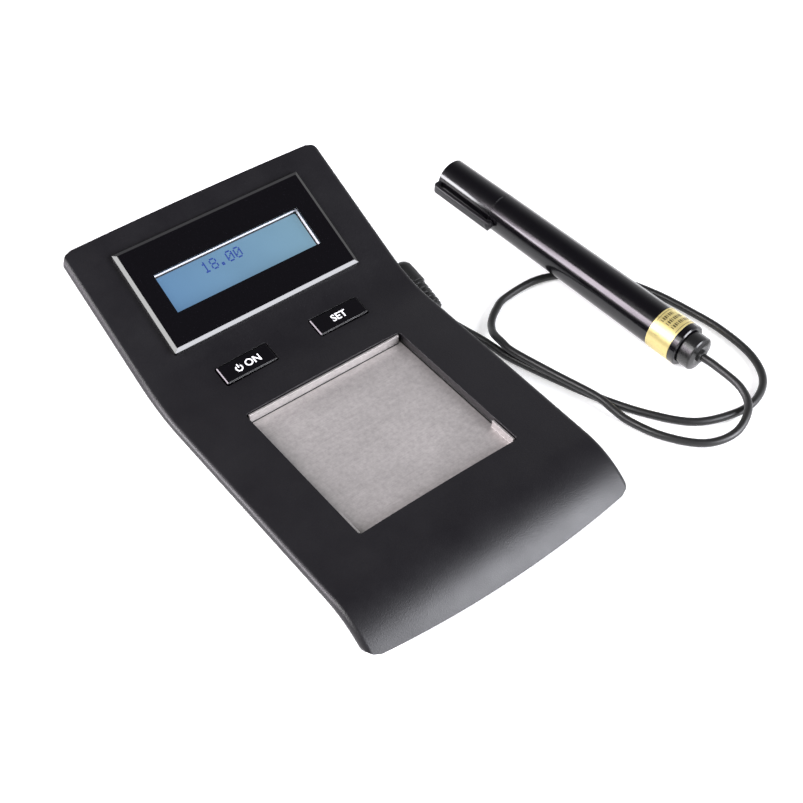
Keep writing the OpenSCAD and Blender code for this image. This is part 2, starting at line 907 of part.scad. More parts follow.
// screw with its head's seat at Z = 0 and its tip below
module small_screw(shank_l, r) {
  turned([[-shank_l, r * 0.6], [0.6 - shank_l, r], [0, r], [0, 2 * r + 0.3],
    [0.8, 2 * r + 0.3], [1.3, 1.4 * r]]);
}

module board_screws() {
  color([0.75, 0.75, 0.77])
    on_console()
      standoff_places()
        translate([0, 0, main_top])
          small_screw(main_top - floor_z - 0.4, board_screw_r);
}

module key_board() {
  color([0.1, 0.32, 0.16])
    on_keys()
      difference() {
        translate([0, 0, key_board_top - board_t / 2])
          cube([key_board_w, key_board_l, board_t], center = true);
        for (x = [-key_post_x, 0, key_post_x])
          translate([x, 0, key_board_top - board_t - 1])
            cylinder(r = key_screw_r + 0.2, h = board_t + 2);
      }
}

module key_board_screws() {
  color([0.75, 0.75, 0.77])
    on_keys()
      for (x = [-key_post_x, 0, key_post_x])
        translate([x, 0, key_board_top - board_t])
          rotate([180, 0, 0])
            small_screw(board_t + 4, key_screw_r);
}

module key_switches() {
  color([0.2, 0.2, 0.22])
    on_keys()
      for (side = [-1, 1])
        translate([side * key_pitch / 2, 0, 0])
          difference() {
            translate([0, 0, key_board_top + switch_h / 2])
              cube([switch_w, switch_w, switch_h], center = true);
            translate([0, 0, stem_end - key_travel - 0.2])
              cylinder(r = stem_r + run_gap, h = 10);
          }
}

// ---- keys ----

module key_piece(side) {
  color([0.03, 0.03, 0.035])
    on_keys()
      translate([side * key_pitch / 2, 0, 0]) {
        translate([0, 0, -eps])
          linear_extrude(key_top - key_chamfer + eps)
            round_rect(key_w, key_l, 0.6);
        hull() {
          translate([0, 0, key_top - key_chamfer - eps])
            linear_extrude(eps) square([key_w, key_l - 0.2], center = true);
          translate([0, 0, key_top - eps])
            linear_extrude(eps)
              square([key_w - 2 * key_chamfer, key_l - 2 * key_chamfer],
                center = true);
        }
        translate([0, 0, -key_flange_t])
          linear_extrude(key_flange_t)
            round_rect(key_w + 2 * key_flange, key_l + 2 * key_flange, 1);
        translate([0, 0, stem_end])
          cylinder(r = stem_r, h = -stem_end - key_flange_t + eps);
      }
}

module left_key() {
  key_piece(-1);
}

module right_key() {
  key_piece(1);
}

// ---- display ----

module display_bezel() {
  skirt_top = bezel_top - bezel_chamfer_h;
  seat = rim_r + crown_at(bezel_w / 2) - 0.1;
  color([0.04, 0.04, 0.045])
    on_slope()
      difference() {
        union() {
          // chamfered plateau whose underside follows the crowned cover
          difference() {
            translate([0, 0, seat])
              linear_extrude(skirt_top - seat)
                round_rect(bezel_w, bezel_l, 1);
            rotate([90, 0, 0])
              linear_extrude(big, center = true)
                translate([0, 0.06])
                  polygon(concat([[-half_line, 0]], crown_line,
                    [[half_line, 0]]));
          }
          translate([0, 0, skirt_top - eps]) bezel_top_solid();
          // body that drops through the cover
          translate([0, 0, bezel_foot])
            linear_extrude(skirt_top - bezel_foot)
              round_rect(bezel_w - 2 * bezel_inset - 2 * gap,
                bezel_l - 2 * bezel_inset - 2 * gap, 1.3);
          for (sx = [-1, 1])
            for (sy = [-1, 1])
              translate([sx * lcd_screw_x, sy * lcd_screw_y, lcd_board_top])
                cylinder(r = lcd_post_r, h = bezel_foot - lcd_board_top + 1);
        }
        // window, and room behind it for the display's frame
        translate([0, window_y, bezel_foot - 1])
          linear_extrude(through)
            square([window_w, window_l], center = true);
        translate([-frame_w / 2 - gap, window_y - frame_l / 2 - gap,
            bezel_foot - 1])
          cube([frame_w + 2 * gap, frame_l + 2 * gap,
            frame_top - bezel_foot + 1]);
        for (sx = [-1, 1])
          for (sy = [-1, 1])
            translate([sx * lcd_screw_x, sy * lcd_screw_y, lcd_board_top - eps])
              cylinder(r = board_pilot_r, h = 4.5);
      }
}

// block with chamfered upper edges, made as one faceted solid
module bezel_top_solid() {
  hull() {
    linear_extrude(eps)
      square([bezel_w - 0.4, bezel_l - 0.4], center = true);
    translate([0, 0, bezel_chamfer_h - eps])
      linear_extrude(eps)
        square([bezel_w - 2 * bezel_chamfer_w, bezel_l - 2 * bezel_chamfer_w],
          center = true);
  }
}

module lcd_frame() {
  low = lcd_board_top;
  color([0.8, 0.8, 0.82])
    on_slope()
      translate([0, window_y, 0])
        difference() {
          translate([-frame_w / 2, -frame_l / 2, low])
            cube([frame_w, frame_l, frame_top - gap - low]);
          translate([-frame_w / 2 + frame_wall, -frame_l / 2 + frame_wall,
              low - 1])
            cube([frame_w - 2 * frame_wall, frame_l - 2 * frame_wall,
              glass_top - low + 1]);
          translate([-window_w / 2 - 0.2, -window_l / 2 - 0.2, low])
            cube([window_w + 0.4, window_l + 0.4, through]);
        }
}

module lcd_glass() {
  color([0.4, 0.6, 0.75])
    on_slope()
      translate([0, window_y, glass_top - glass_t / 2])
        cube([frame_w - 2 * frame_wall - 2 * gap,
          frame_l - 2 * frame_wall - 2 * gap, glass_t], center = true);
}

module lcd_backlight() {
  color([0.9, 0.92, 0.95])
    on_slope()
      translate([0, window_y, glass_top - glass_t - light_t / 2])
        cube([frame_w - 2 * frame_wall - 2 * gap,
          frame_l - 2 * frame_wall - 2 * gap, light_t], center = true);
}

module lcd_board() {
  color([0.1, 0.32, 0.16])
    on_slope()
      difference() {
        translate([0, 0, lcd_board_top - board_t / 2])
          cube([lcd_board_w, lcd_board_l, board_t], center = true);
        for (sx = [-1, 1])
          for (sy = [-1, 1])
            translate([sx * lcd_screw_x, sy * lcd_screw_y,
                lcd_board_top - board_t - 1])
              cylinder(r = lcd_hole_r, h = board_t + 2);
      }
}

module lcd_screws() {
  color([0.75, 0.75, 0.77])
    on_slope()
      for (sx = [-1, 1])
        for (sy = [-1, 1])
          translate([sx * lcd_screw_x, sy * lcd_screw_y,
              lcd_board_top - board_t])
            rotate([180, 0, 0])
              small_screw(board_t + 4, lcd_screw_r);
}

// place in the console's side view of a point along the display slope
function slope_point(s, n) = [bend_y + s * cos(slope_a) - n * sin(slope_a),
  bend_z + s * sin(slope_a) + n * cos(slope_a)];

// flat cable from the display's board, over the key board, to its header
module ribbon_cable() {
  n = lcd_board_top - board_t - ribbon_t - ribbon_gap;
  s = disp_s - lcd_board_l / 2;
  top = main_top + header_h;
  path = [[header_y, top], [header_y + 5, top + 1], [key_y + 4, top + 3],
    slope_point(s - 1, n - 0.6), slope_point(s + 0.6, n),
    slope_point(s + 5, n)];
  shift = ribbon_t * [-sin(slope_a), cos(slope_a)];
  color([0.75, 0.75, 0.78])
    on_console()
      translate([ribbon_x, 0, 0])
        across(ribbon_w)
          polygon(concat(path,
            [for (i = [len(path) - 1 : -1 : 0]) path[i] + shift]));
}

// ---- battery and power ----

module battery() {
  color([0.2, 0.3, 0.55])
    on_console()
      translate([battery_x, battery_y, battery_z + battery_t / 2])
        cube([battery_l, battery_w, battery_t], center = true);
}

module battery_snap() {
  color([0.1, 0.1, 0.1])
    on_console()
      box([battery_x + battery_l / 2 + gap, battery_y - snap_l / 2,
          battery_z + 2],
        [bay_half_w, battery_y + snap_l / 2, battery_z + battery_t - 2]);
}

// two wires from the snap, over the key board, to the main board
module battery_leads() {
  start_x = bay_half_w - snap_t / 2;
  front = battery_y - snap_l / 2;
  land_y = standoff_rear - 6;
  high = key_line_z - 4.6;
  color([0.7, 0.1, 0.1])
    on_console()
      for (k = [0, 1])
        tube([[start_x, front, high - 2 + 3 * k],
            [start_x, front - 3, high - 2 + 3 * k],
            [start_x + 2 * k, rear_screw_y + 2, high + k],
            [lead_x + 2.2 * k, key_y + 8, high],
            [lead_x + 2.2 * k, key_y, high - 0.4],
            [lead_x + 2.2 * k, key_y - 8, high - 1.2],
            [lead_x - 0.8 + 2.2 * k, land_y + 5, main_top + 2.2],
            [lead_x - 1 + 2.2 * k, land_y + 1.2, main_top + 1.5],
            [lead_x - 1 + 2.2 * k, land_y, main_top]],
          wire_d, 8, [0, -1, 0], [0, -0.001, -1]);
}

module battery_door() {
  low = foot_h;
  color([0.12, 0.12, 0.13])
    on_console()
      difference() {
        union() {
          box([-door_half_w, door_front, low],
            [door_half_w, base_rear_y, low + door_t]);
          box([-door_half_w - tongue_w, door_front, tongue_z],
            [door_half_w + tongue_w, base_rear_y - 1.2, tongue_z + tongue_t]);
        }
        // grip grooves
        for (k = [0 : 4])
          box([-10, base_rear_y - 5 - 2.4 * k, low - 1],
            [10, base_rear_y - 3.8 - 2.4 * k, low + 0.6]);
      }
}

module dc_jack() {
  face = base_rear_y + (base_rear_top_y - base_rear_y) * dc_z / 60;
  back = face - wall_t - 0.6;
  color([0.08, 0.08, 0.09])
    on_console()
      translate([dc_x, 0, dc_z]) {
        difference() {
          union() {
            box([-dc_box_w / 2, back - dc_box_l, -dc_box_h / 2],
              [dc_box_w / 2, back, dc_box_h / 2]);
            translate([0, back - 1, 0])
              rotate([-90, 0, 0])
                cylinder(r = dc_bushing_r, h = face - back + 0.8);
          }
          translate([0, back - dc_bore_l, 0])
            rotate([-90, 0, 0]) cylinder(r = dc_bore_r, h = through);
        }
        translate([0, back - dc_bore_l - 0.5, 0])
          rotate([-90, 0, 0]) cylinder(r = dc_pin_r, h = dc_bore_l + 0.5);
      }
}

module probe_socket() {
  back = pod_face - pod_wall - gap;
  color([0.1, 0.1, 0.11])
    on_console()
      translate([0, jack_y, jack_z])
        difference() {
          union() {
            box([back - socket_l, -socket_w / 2, -socket_h / 2],
              [back, socket_w / 2, socket_h / 2]);
            translate([back - 1, 0, 0])
              rotate([0, 90, 0])
                cylinder(r = bushing_r, h = bushing_face - back + 1);
          }
          translate([plug_face - jack_l - 0.6, 0, 0])
            rotate([0, 90, 0])
              cylinder(r = jack_d / 2 + run_gap, h = jack_l + 6);
        }
}

// ---- plug and lead ----

module plug_pin() {
  r = jack_d / 2;
  color([0.8, 0.75, 0.6])
    on_plug()
      translate([plug_face, 0, 0])
        rotate([0, -90, 0])
          turned([[0, r], [3.6, r], [3.6, r - 0.12], [4.2, r - 0.12],
            [4.2, r], [8, r], [8, r - 0.12], [8.6, r - 0.12], [8.6, r],
            [11, r], [11.8, r - 0.7], [12.6, r - 0.3], [13.2, r - 0.4],
            [jack_l, 0.4]]);
}

module plug_body() {
  color([0.1, 0.1, 0.11])
    on_plug() {
      translate([plug_x, plug_front, 0])
        rotate([-90, 0, 0])
          cylinder(r = plug_r, h = plug_rear - plug_front);
      translate([plug_x, plug_rear, 0]) sphere(r = plug_r);
      translate([plug_face, 0, 0])
        rotate([0, 90, 0]) cylinder(r = neck_r, h = plug_x - plug_face);
    }
}

// ribbed relief, tapered towards the lead
module strain_relief() {
  step = relief_l / (relief_ribs + 0.5);
  function core(s) = relief_r + (relief_end_r - relief_r) * s / relief_l;
  color([0.13, 0.13, 0.14])
    on_plug()
      translate([plug_x, plug_front, 0])
        rotate([90, 0, 0])
          turned(concat(
            [for (k = [0 : relief_ribs - 1])
              let (s = k * step)
              each [[s, core(s) + rib_rise], [s + step / 2, core(s) + rib_rise],
                [s + step / 2, core(s) - 0.15], [s + step, core(s) - 0.15]]],
            [[relief_ribs * step, relief_end_r + rib_rise],
             [relief_l, relief_end_r]]));
}

module probe_lead() {
  knob_out = [sin(pen_yaw) * cos(pen_pitch), -cos(pen_yaw) * cos(pen_pitch),
    -sin(pen_pitch)];
  first = [0, -cos(plug_droop), -sin(plug_droop)];
  color([0.2, 0.2, 0.21])
    tube(smooth(concat([lead_exit], lead_points,
        [[pen_x, pen_y, pen_z] + knob_out * sleeve_out]), lead_rest_z),
      lead_d, lead_sides, first, -knob_out);
}

// ---- pen ----

module pen_barrel() {
  spigot_end = barrel_end + spigot_l;
  color([0.05, 0.045, 0.055])
    on_pen()
      difference() {
        turned([[barrel_rear, barrel_r], [barrel_end, pen_joint_r],
          [barrel_end, spigot_r], [spigot_end, spigot_r]]);
        translate([0, 0, barrel_rear - 1])
          cylinder(r = pen_bore_r, h = pen_l);
      }
}

// foil label wrapped round the barrel, next to the collar
module label_band() {
  start = barrel_rear + gap;
  end = start + label_l;
  color([0.85, 0.78, 0.5])
    on_pen()
      rotate_extrude()
        polygon([[barrel_at(start) + 0.01, start],
          [barrel_at(start) + label_t, start],
          [barrel_at(end) + label_t, end],
          [barrel_at(end) + 0.01, end]]);
}

module tail_collar() {
  color([0.05, 0.05, 0.055])
    on_pen()
      difference() {
        union() {
          translate([0, 0, knob_l])
            turned([[0, pen_rear_r - 0.5], [0.5, pen_rear_r],
              [collar_l - 0.02, pen_rear_r]]);
          translate([0, 0, barrel_rear - 0.1])
            cylinder(r = cartridge_r, h = 5);
        }
        translate([0, 0, knob_l - 1])
          cylinder(r = knob_shank_r + shank_gap, h = collar_l + 10);
      }
}

// fixed sleeve that leads the cable through the middle of the knob
module cord_sleeve() {
  color([0.12, 0.12, 0.13])
    on_pen()
      translate([0, 0, -sleeve_out])
        cylinder(r = sleeve_r, h = sleeve_end + sleeve_out);
}

module feed_knob() {
  color([0.06, 0.06, 0.065])
    on_pen()
      difference() {
        union() {
          turned([[0, 4.4], [0.7, knob_r - 0.4], [1.2, knob_r],
            [knob_l - knob_gap, knob_r]]);
          translate([0, 0, knob_l - 1])
            cylinder(r = knob_shank_r, h = knob_shank_l + 1);
        }
        translate([0, 0, -1])
          cylinder(r = sleeve_r + run_gap, h = knob_l + knob_shank_l + 2);
      }
}

// tube driven forward by the knob's thread; it pushes the gel to the tip
module feed_tube() {
  color([0.75, 0.75, 0.72])
    on_pen()
      difference() {
        translate([0, 0, feed_start])
          cylinder(r = feed_r, h = feed_end - feed_start);
        translate([0, 0, feed_start - 1])
          cylinder(r = sleeve_r + 0.3, h = sleeve_end - feed_start + 3);
      }
}

module gel_cartridge() {
  color([0.8, 0.82, 0.85])
    on_pen()
      difference() {
        translate([0, 0, cartridge_start])
          cylinder(r = cartridge_r, h = barrel_end - cartridge_start);
        translate([0, 0, cartridge_start - 1])
          cylinder(r = feed_r + run_gap, h = barrel_end - cartridge_start - 1);
      }
}

// cone screwed into the barrel's end; it holds the felt tip
module nose_cone() {
  start = barrel_end + spigot_l;
  color([0.7, 0.7, 0.72])
    on_pen()
      difference() {
        union() {
          translate([0, 0, barrel_end + 0.02])
            cylinder(r = cartridge_r, h = spigot_l);
          translate([0, 0, start + 0.02])
            turned([[0, spigot_r - 0.4], [2, spigot_r - 0.8],
              [nose_l - 1, tip_r + 1.2], [nose_l, tip_r + 1]]);
        }
        translate([0, 0, start + nose_l - tip_l])
          cylinder(r = tip_r + run_gap, h = through);
      }
}

module felt_tip() {
  color([0.9, 0.88, 0.8])
    on_pen()
      translate([0, 0, barrel_end + spigot_l + nose_l - tip_l])
        turned([[0, tip_r], [tip_l + 1, tip_r], [tip_l + 2, 0.5]]);
}

module pen_cap() {
  color([0.05, 0.045, 0.055])
    on_pen()
      difference() {
        translate([0, 0, barrel_end + gap])
          turned([[0, pen_joint_r], [cap_l - gap - 0.6, pen_cap_r],
            [cap_l - gap, pen_cap_r - 0.6]]);
        translate([0, 0, barrel_end - 1])
          cylinder(r = spigot_r + spigot_gap, h = cap_l - pen_wall);
      }
}

// strap clip on the console's side of the cap, with a round foot
module pen_clip() {
  strap_x = pen_joint_r + clip_reach - clip_t;
  foot_s = pen_l - clip_l + clip_ball_r;
  color([0.05, 0.05, 0.055])
    on_pen()
      difference() {
        union() {
          // root block at the closed end
          box([-strap_x - clip_t, -clip_w / 2, pen_l - 5],
            [-pen_cap_r + 1.5, clip_w / 2, pen_l - 0.6]);
          box([-strap_x - clip_t, -clip_w / 2, foot_s],
            [-strap_x, clip_w / 2, pen_l - 2]);
          translate([-strap_x - 0.1, 0, foot_s]) sphere(r = clip_ball_r);
        }
        // keep clear of the cap and the barrel
        translate([0, 0, barrel_end + gap])
          turned([[0, pen_joint_r + clip_gap],
            [cap_l - gap - 0.6, pen_cap_r + clip_gap],
            [cap_l, pen_cap_r + clip_gap]]);
        translate([0, 0, barrel_end - clip_l])
          cylinder(r = pen_joint_r + 0.4, h = clip_l + 1);
      }
}

top_cover();
base_shell();
display_bezel();
lcd_frame();
lcd_glass();
lcd_backlight();
lcd_board();
lcd_screws();
key_board();
key_board_screws();
key_switches();
main_board();
board_parts();
board_screws();
plate_holder();
test_plate();
plate_lead();
probe_socket();
dc_jack();
battery();
battery_snap();
battery_leads();
ribbon_cable();
case_screws();
feet();
left_key();
right_key();
battery_door();
plug_pin();
plug_body();
strain_relief();
probe_lead();
pen_barrel();
label_band();
tail_collar();
cord_sleeve();
gel_cartridge();
nose_cone();
felt_tip();
feed_knob();
feed_tube();
pen_cap();
pen_clip();
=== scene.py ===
"""Looks of the electronic gold tester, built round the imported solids.

Lengths are in millimetres until MM turns them into metres.
"""

from math import asin, cos, pi, radians, sin, sqrt

import bmesh
import bpy
from mathutils import Matrix, Vector


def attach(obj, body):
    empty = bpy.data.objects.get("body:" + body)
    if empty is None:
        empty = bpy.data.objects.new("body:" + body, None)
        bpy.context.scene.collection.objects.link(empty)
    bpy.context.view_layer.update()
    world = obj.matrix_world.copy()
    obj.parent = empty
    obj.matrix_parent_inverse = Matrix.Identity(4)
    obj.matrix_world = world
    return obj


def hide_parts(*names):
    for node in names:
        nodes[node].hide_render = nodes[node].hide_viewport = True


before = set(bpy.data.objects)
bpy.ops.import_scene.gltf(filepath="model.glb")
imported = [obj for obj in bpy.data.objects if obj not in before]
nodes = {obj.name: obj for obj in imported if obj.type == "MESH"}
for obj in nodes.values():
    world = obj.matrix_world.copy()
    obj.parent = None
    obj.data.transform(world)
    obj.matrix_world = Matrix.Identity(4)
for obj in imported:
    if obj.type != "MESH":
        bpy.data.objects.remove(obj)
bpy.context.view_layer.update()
MM = 0.001

# ---- camera: its place, and the ways that it calls right, down and forward ----

CAMERA_PLACE = Vector((-246.41, -290.75, 395.66))
CAMERA_RIGHT = Vector((0.78612, -0.61793, 0.01294))
CAMERA_DOWN = Vector((-0.44432, -0.57956, -0.68314))
CAMERA_FORWARD = Vector((0.42964, 0.53128, -0.73017))

camera_data = bpy.data.cameras.new("camera")
camera_data.sensor_width = 36
camera_data.lens = 63.43
camera_data.clip_start = 0.01
camera_data.clip_end = 50
camera = bpy.data.objects.new("camera", camera_data)
camera_axes = Matrix((CAMERA_RIGHT, -CAMERA_DOWN, -CAMERA_FORWARD)).transposed()
camera.matrix_world = Matrix.Translation(CAMERA_PLACE * MM) @ camera_axes.to_4x4()
bpy.context.scene.collection.objects.link(camera)
bpy.context.scene.camera = camera
bpy.context.scene.view_settings.view_transform = "Standard"

# ---- the console's line from front to rear: nose, deck, bend and slope ----

COVER_W, RIM_R, RIM_H, CROWN = 116, 2.2, 18.9, 1.5
HALF_LINE = COVER_W / 2 - RIM_R
DECK_FRONT, DECK_REAR = -46, 43.2
NOSE_R, NOSE_A = 31, radians(50.5)
BEND_R, SLOPE_A, SLOPE_L = 60, radians(24.7), 57
BEND_Y = DECK_REAR + BEND_R * sin(SLOPE_A)
BEND_Z = RIM_H + BEND_R * (1 - cos(SLOPE_A))
KEY_Y = 54.2
KEY_A = asin((KEY_Y - DECK_REAR) / BEND_R)
KEY_Z = RIM_H + BEND_R * (1 - cos(KEY_A))
WINDOW_S = 24.8


def moved(x, y, z):
    return Matrix.Translation((x, y, z))


def turned(angle, axis):
    return Matrix.Rotation(angle, 4, axis)


# frames of the console, the sloping display, the keys and the pen, whose Z is its length
CONSOLE_X, CONSOLE_Y = -40, -24
DISPLAY_DROP = 0.3
PEN_REAR, PEN_YAW, PEN_PITCH = (88.5, -60.6, 8.593), radians(4.6), radians(2.6)
CONSOLE = moved(CONSOLE_X, CONSOLE_Y, 0)
SLOPE = CONSOLE @ moved(0, BEND_Y, BEND_Z) @ turned(SLOPE_A, "X") @ moved(0, WINDOW_S, 0)
DISPLAY = SLOPE @ moved(0, -DISPLAY_DROP, 0)
KEYS = CONSOLE @ moved(0, KEY_Y, KEY_Z) @ turned(KEY_A, "X")
PEN = moved(*PEN_REAR) @ turned(PEN_YAW, "Z") @ turned(PEN_PITCH - radians(90), "X")


def crown_at(x):
    """How far the cover rises above its side lines at x from the middle."""
    return CROWN * (1 - (x / HALF_LINE) ** 2)


# ---- materials ----


def new_group(name, sockets):
    """A shader node group; sockets are (name, in or out, type, default)."""
    group = bpy.data.node_groups.new(name, "ShaderNodeTree")
    for label, way, kind, default in sockets:
        socket = group.interface.new_socket(name=label, in_out=way, socket_type=kind)
        if default is not None:
            socket.default_value = default
    start = group.nodes.new("NodeGroupInput")
    end = group.nodes.new("NodeGroupOutput")
    start.location, end.location = (-900, 0), (700, 0)
    return group, start, end


def node_in(tree, kind, place, **settings):
    """A node at a place in the tree, with its own settings."""
    made = tree.nodes.new(kind)
    made.location = place
    for key, value in settings.items():
        setattr(made, key, value)
    return made


def set_inputs(node, **values):
    """Sets inputs by name, with _ for a space."""
    for key, value in values.items():
        node.inputs[key.replace("_", " ")].default_value = value


def grain_group():
    """Fine moulded texture: bumps over the surface, and how high each point lies."""
    group, start, end = new_group("grain", [
        ("Scale", "INPUT", "NodeSocketFloat", 1500.0),
        ("Strength", "INPUT", "NodeSocketFloat", 0.2),
        ("Edge", "INPUT", "NodeSocketFloat", 0.0003),
        ("Height", "OUTPUT", "NodeSocketFloat", None),
        ("Normal", "OUTPUT", "NodeSocketVector", None)])
    link = group.links.new
    place = node_in(group, "ShaderNodeTexCoord", (-900, 300))
    fine = node_in(group, "ShaderNodeTexNoise", (-600, 300))
    set_inputs(fine, Detail=3, Roughness=0.6)
    edge = node_in(group, "ShaderNodeBevel", (-300, -200), samples=4)
    bump = node_in(group, "ShaderNodeBump", (200, 0))
    set_inputs(bump, Distance=0.0001)
    link(place.outputs["Object"], fine.inputs["Vector"])
    link(start.outputs["Scale"], fine.inputs["Scale"])
    link(start.outputs["Edge"], edge.inputs["Radius"])
    link(start.outputs["Strength"], bump.inputs["Strength"])
    link(fine.outputs["Fac"], bump.inputs["Height"])
    link(edge.outputs["Normal"], bump.inputs["Normal"])
    link(fine.outputs["Fac"], end.inputs["Height"])
    link(bump.outputs["Normal"], end.inputs["Normal"])
    return group


def handling_group():
    """Slow variation between two values, as handling and moulding leave it."""
    group, start, end = new_group("handling", [
        ("Scale", "INPUT", "NodeSocketFloat", 60.0),
        ("Low", "INPUT", "NodeSocketFloat", 0.3),
        ("High", "INPUT", "NodeSocketFloat", 0.5),
        ("Value", "OUTPUT", "NodeSocketFloat", None)])
    link = group.links.new
    place = node_in(group, "ShaderNodeTexCoord", (-900, 300))
    slow = node_in(group, "ShaderNodeTexNoise", (-600, 300))
    set_inputs(slow, Detail=5, Roughness=0.65)
    spread = node_in(group, "ShaderNodeMapRange", (-200, 100))
    set_inputs(spread, From_Min=0.3, From_Max=0.7)
    link(place.outputs["Object"], slow.inputs["Vector"])
    link(start.outputs["Scale"], slow.inputs["Scale"])
    link(slow.outputs["Fac"], spread.inputs["Value"])
    link(start.outputs["Low"], spread.inputs["To Min"])
    link(start.outputs["High"], spread.inputs["To Max"])
    link(spread.outputs["Result"], end.inputs["Value"])
    return group


def edge_group():
    """Mask of the outer edges, where handling rubs a moulding lighter."""
    group, start, end = new_group("worn_edges", [
        ("Radius", "INPUT", "NodeSocketFloat", 0.0006),
        ("Amount", "INPUT", "NodeSocketFloat", 0.5),
        ("Mask", "OUTPUT", "NodeSocketFloat", None)])
    link = group.links.new
    edge = node_in(group, "ShaderNodeBevel", (-600, 200), samples=4)
    shape = node_in(group, "ShaderNodeNewGeometry", (-600, -100))
    same = node_in(group, "ShaderNodeVectorMath", (-350, 100), operation="DOT_PRODUCT")
    spread = node_in(group, "ShaderNodeMapRange", (-100, 100))
    set_inputs(spread, From_Min=0.995, From_Max=0.8)
    place = node_in(group, "ShaderNodeTexCoord", (-900, -300))
    patch = node_in(group, "ShaderNodeTexNoise", (-600, -350))
    set_inputs(patch, Scale=220, Detail=3)
    scale = node_in(group, "ShaderNodeMath", (150, 0), operation="MULTIPLY")
    amount = node_in(group, "ShaderNodeMath", (350, 0), operation="MULTIPLY")
    link(start.outputs["Radius"], edge.inputs["Radius"])
    link(edge.outputs["Normal"], same.inputs[0])
    link(shape.outputs["Normal"], same.inputs[1])
    link(same.outputs["Value"], spread.inputs["Value"])
    link(place.outputs["Object"], patch.inputs["Vector"])
    link(spread.outputs["Result"], scale.inputs[0])
    link(patch.outputs["Fac"], scale.inputs[1])
    link(scale.outputs[0], amount.inputs[0])
    link(start.outputs["Amount"], amount.inputs[1])
    link(amount.outputs[0], end.inputs["Mask"])
    return group


GRAIN, HANDLING, WORN = grain_group(), handling_group(), edge_group()


def surface(name, dark, light, rough, grain=(1500.0, 0.15), metal=0.0, wear=0.0,
            edge=0.0003, patch=60.0, specular=0.5):
    """Principled surface whose colour and roughness drift over it, with a fine bump.

    grain is (scale, strength), rough (least, most), wear how far edges are rubbed.
    """
    made = bpy.data.materials.new(name)
    made.use_nodes = True
    tree = made.node_tree
    link = tree.links.new
    shader = tree.nodes["Principled BSDF"]
    set_inputs(shader, Metallic=metal, Specular_IOR_Level=specular)
    fine = node_in(tree, "ShaderNodeGroup", (-700, -200), node_tree=GRAIN)
    set_inputs(fine, Scale=grain[0], Strength=grain[1], Edge=edge)
    drift = node_in(tree, "ShaderNodeGroup", (-700, 50), node_tree=HANDLING)
    set_inputs(drift, Scale=patch, Low=rough[0], High=rough[1])
    shade = node_in(tree, "ShaderNodeMix", (-450, 300), data_type="RGBA")
    set_inputs(shade, A=(*dark, 1), B=(*light, 1))
    link(fine.outputs["Height"], shade.inputs["Factor"])
    link(drift.outputs["Value"], shader.inputs["Roughness"])
    link(fine.outputs["Normal"], shader.inputs["Normal"])
    link(shade.outputs["Result"], shader.inputs["Base Color"])
    if wear:
        worn = node_in(tree, "ShaderNodeGroup", (-700, 550), node_tree=WORN)
        set_inputs(worn, Amount=wear)
        rubbed = node_in(tree, "ShaderNodeMix", (-200, 350), data_type="RGBA")
        set_inputs(rubbed, B=(*[min(1, 4 * c + 0.05) for c in light], 1))
        link(worn.outputs["Mask"], rubbed.inputs["Factor"])
        link(shade.outputs["Result"], rubbed.inputs["A"])
        link(rubbed.outputs["Result"], shader.inputs["Base Color"])
    return made


def grey(value, tint=(1, 1, 1)):
    return tuple(value * t for t in tint)


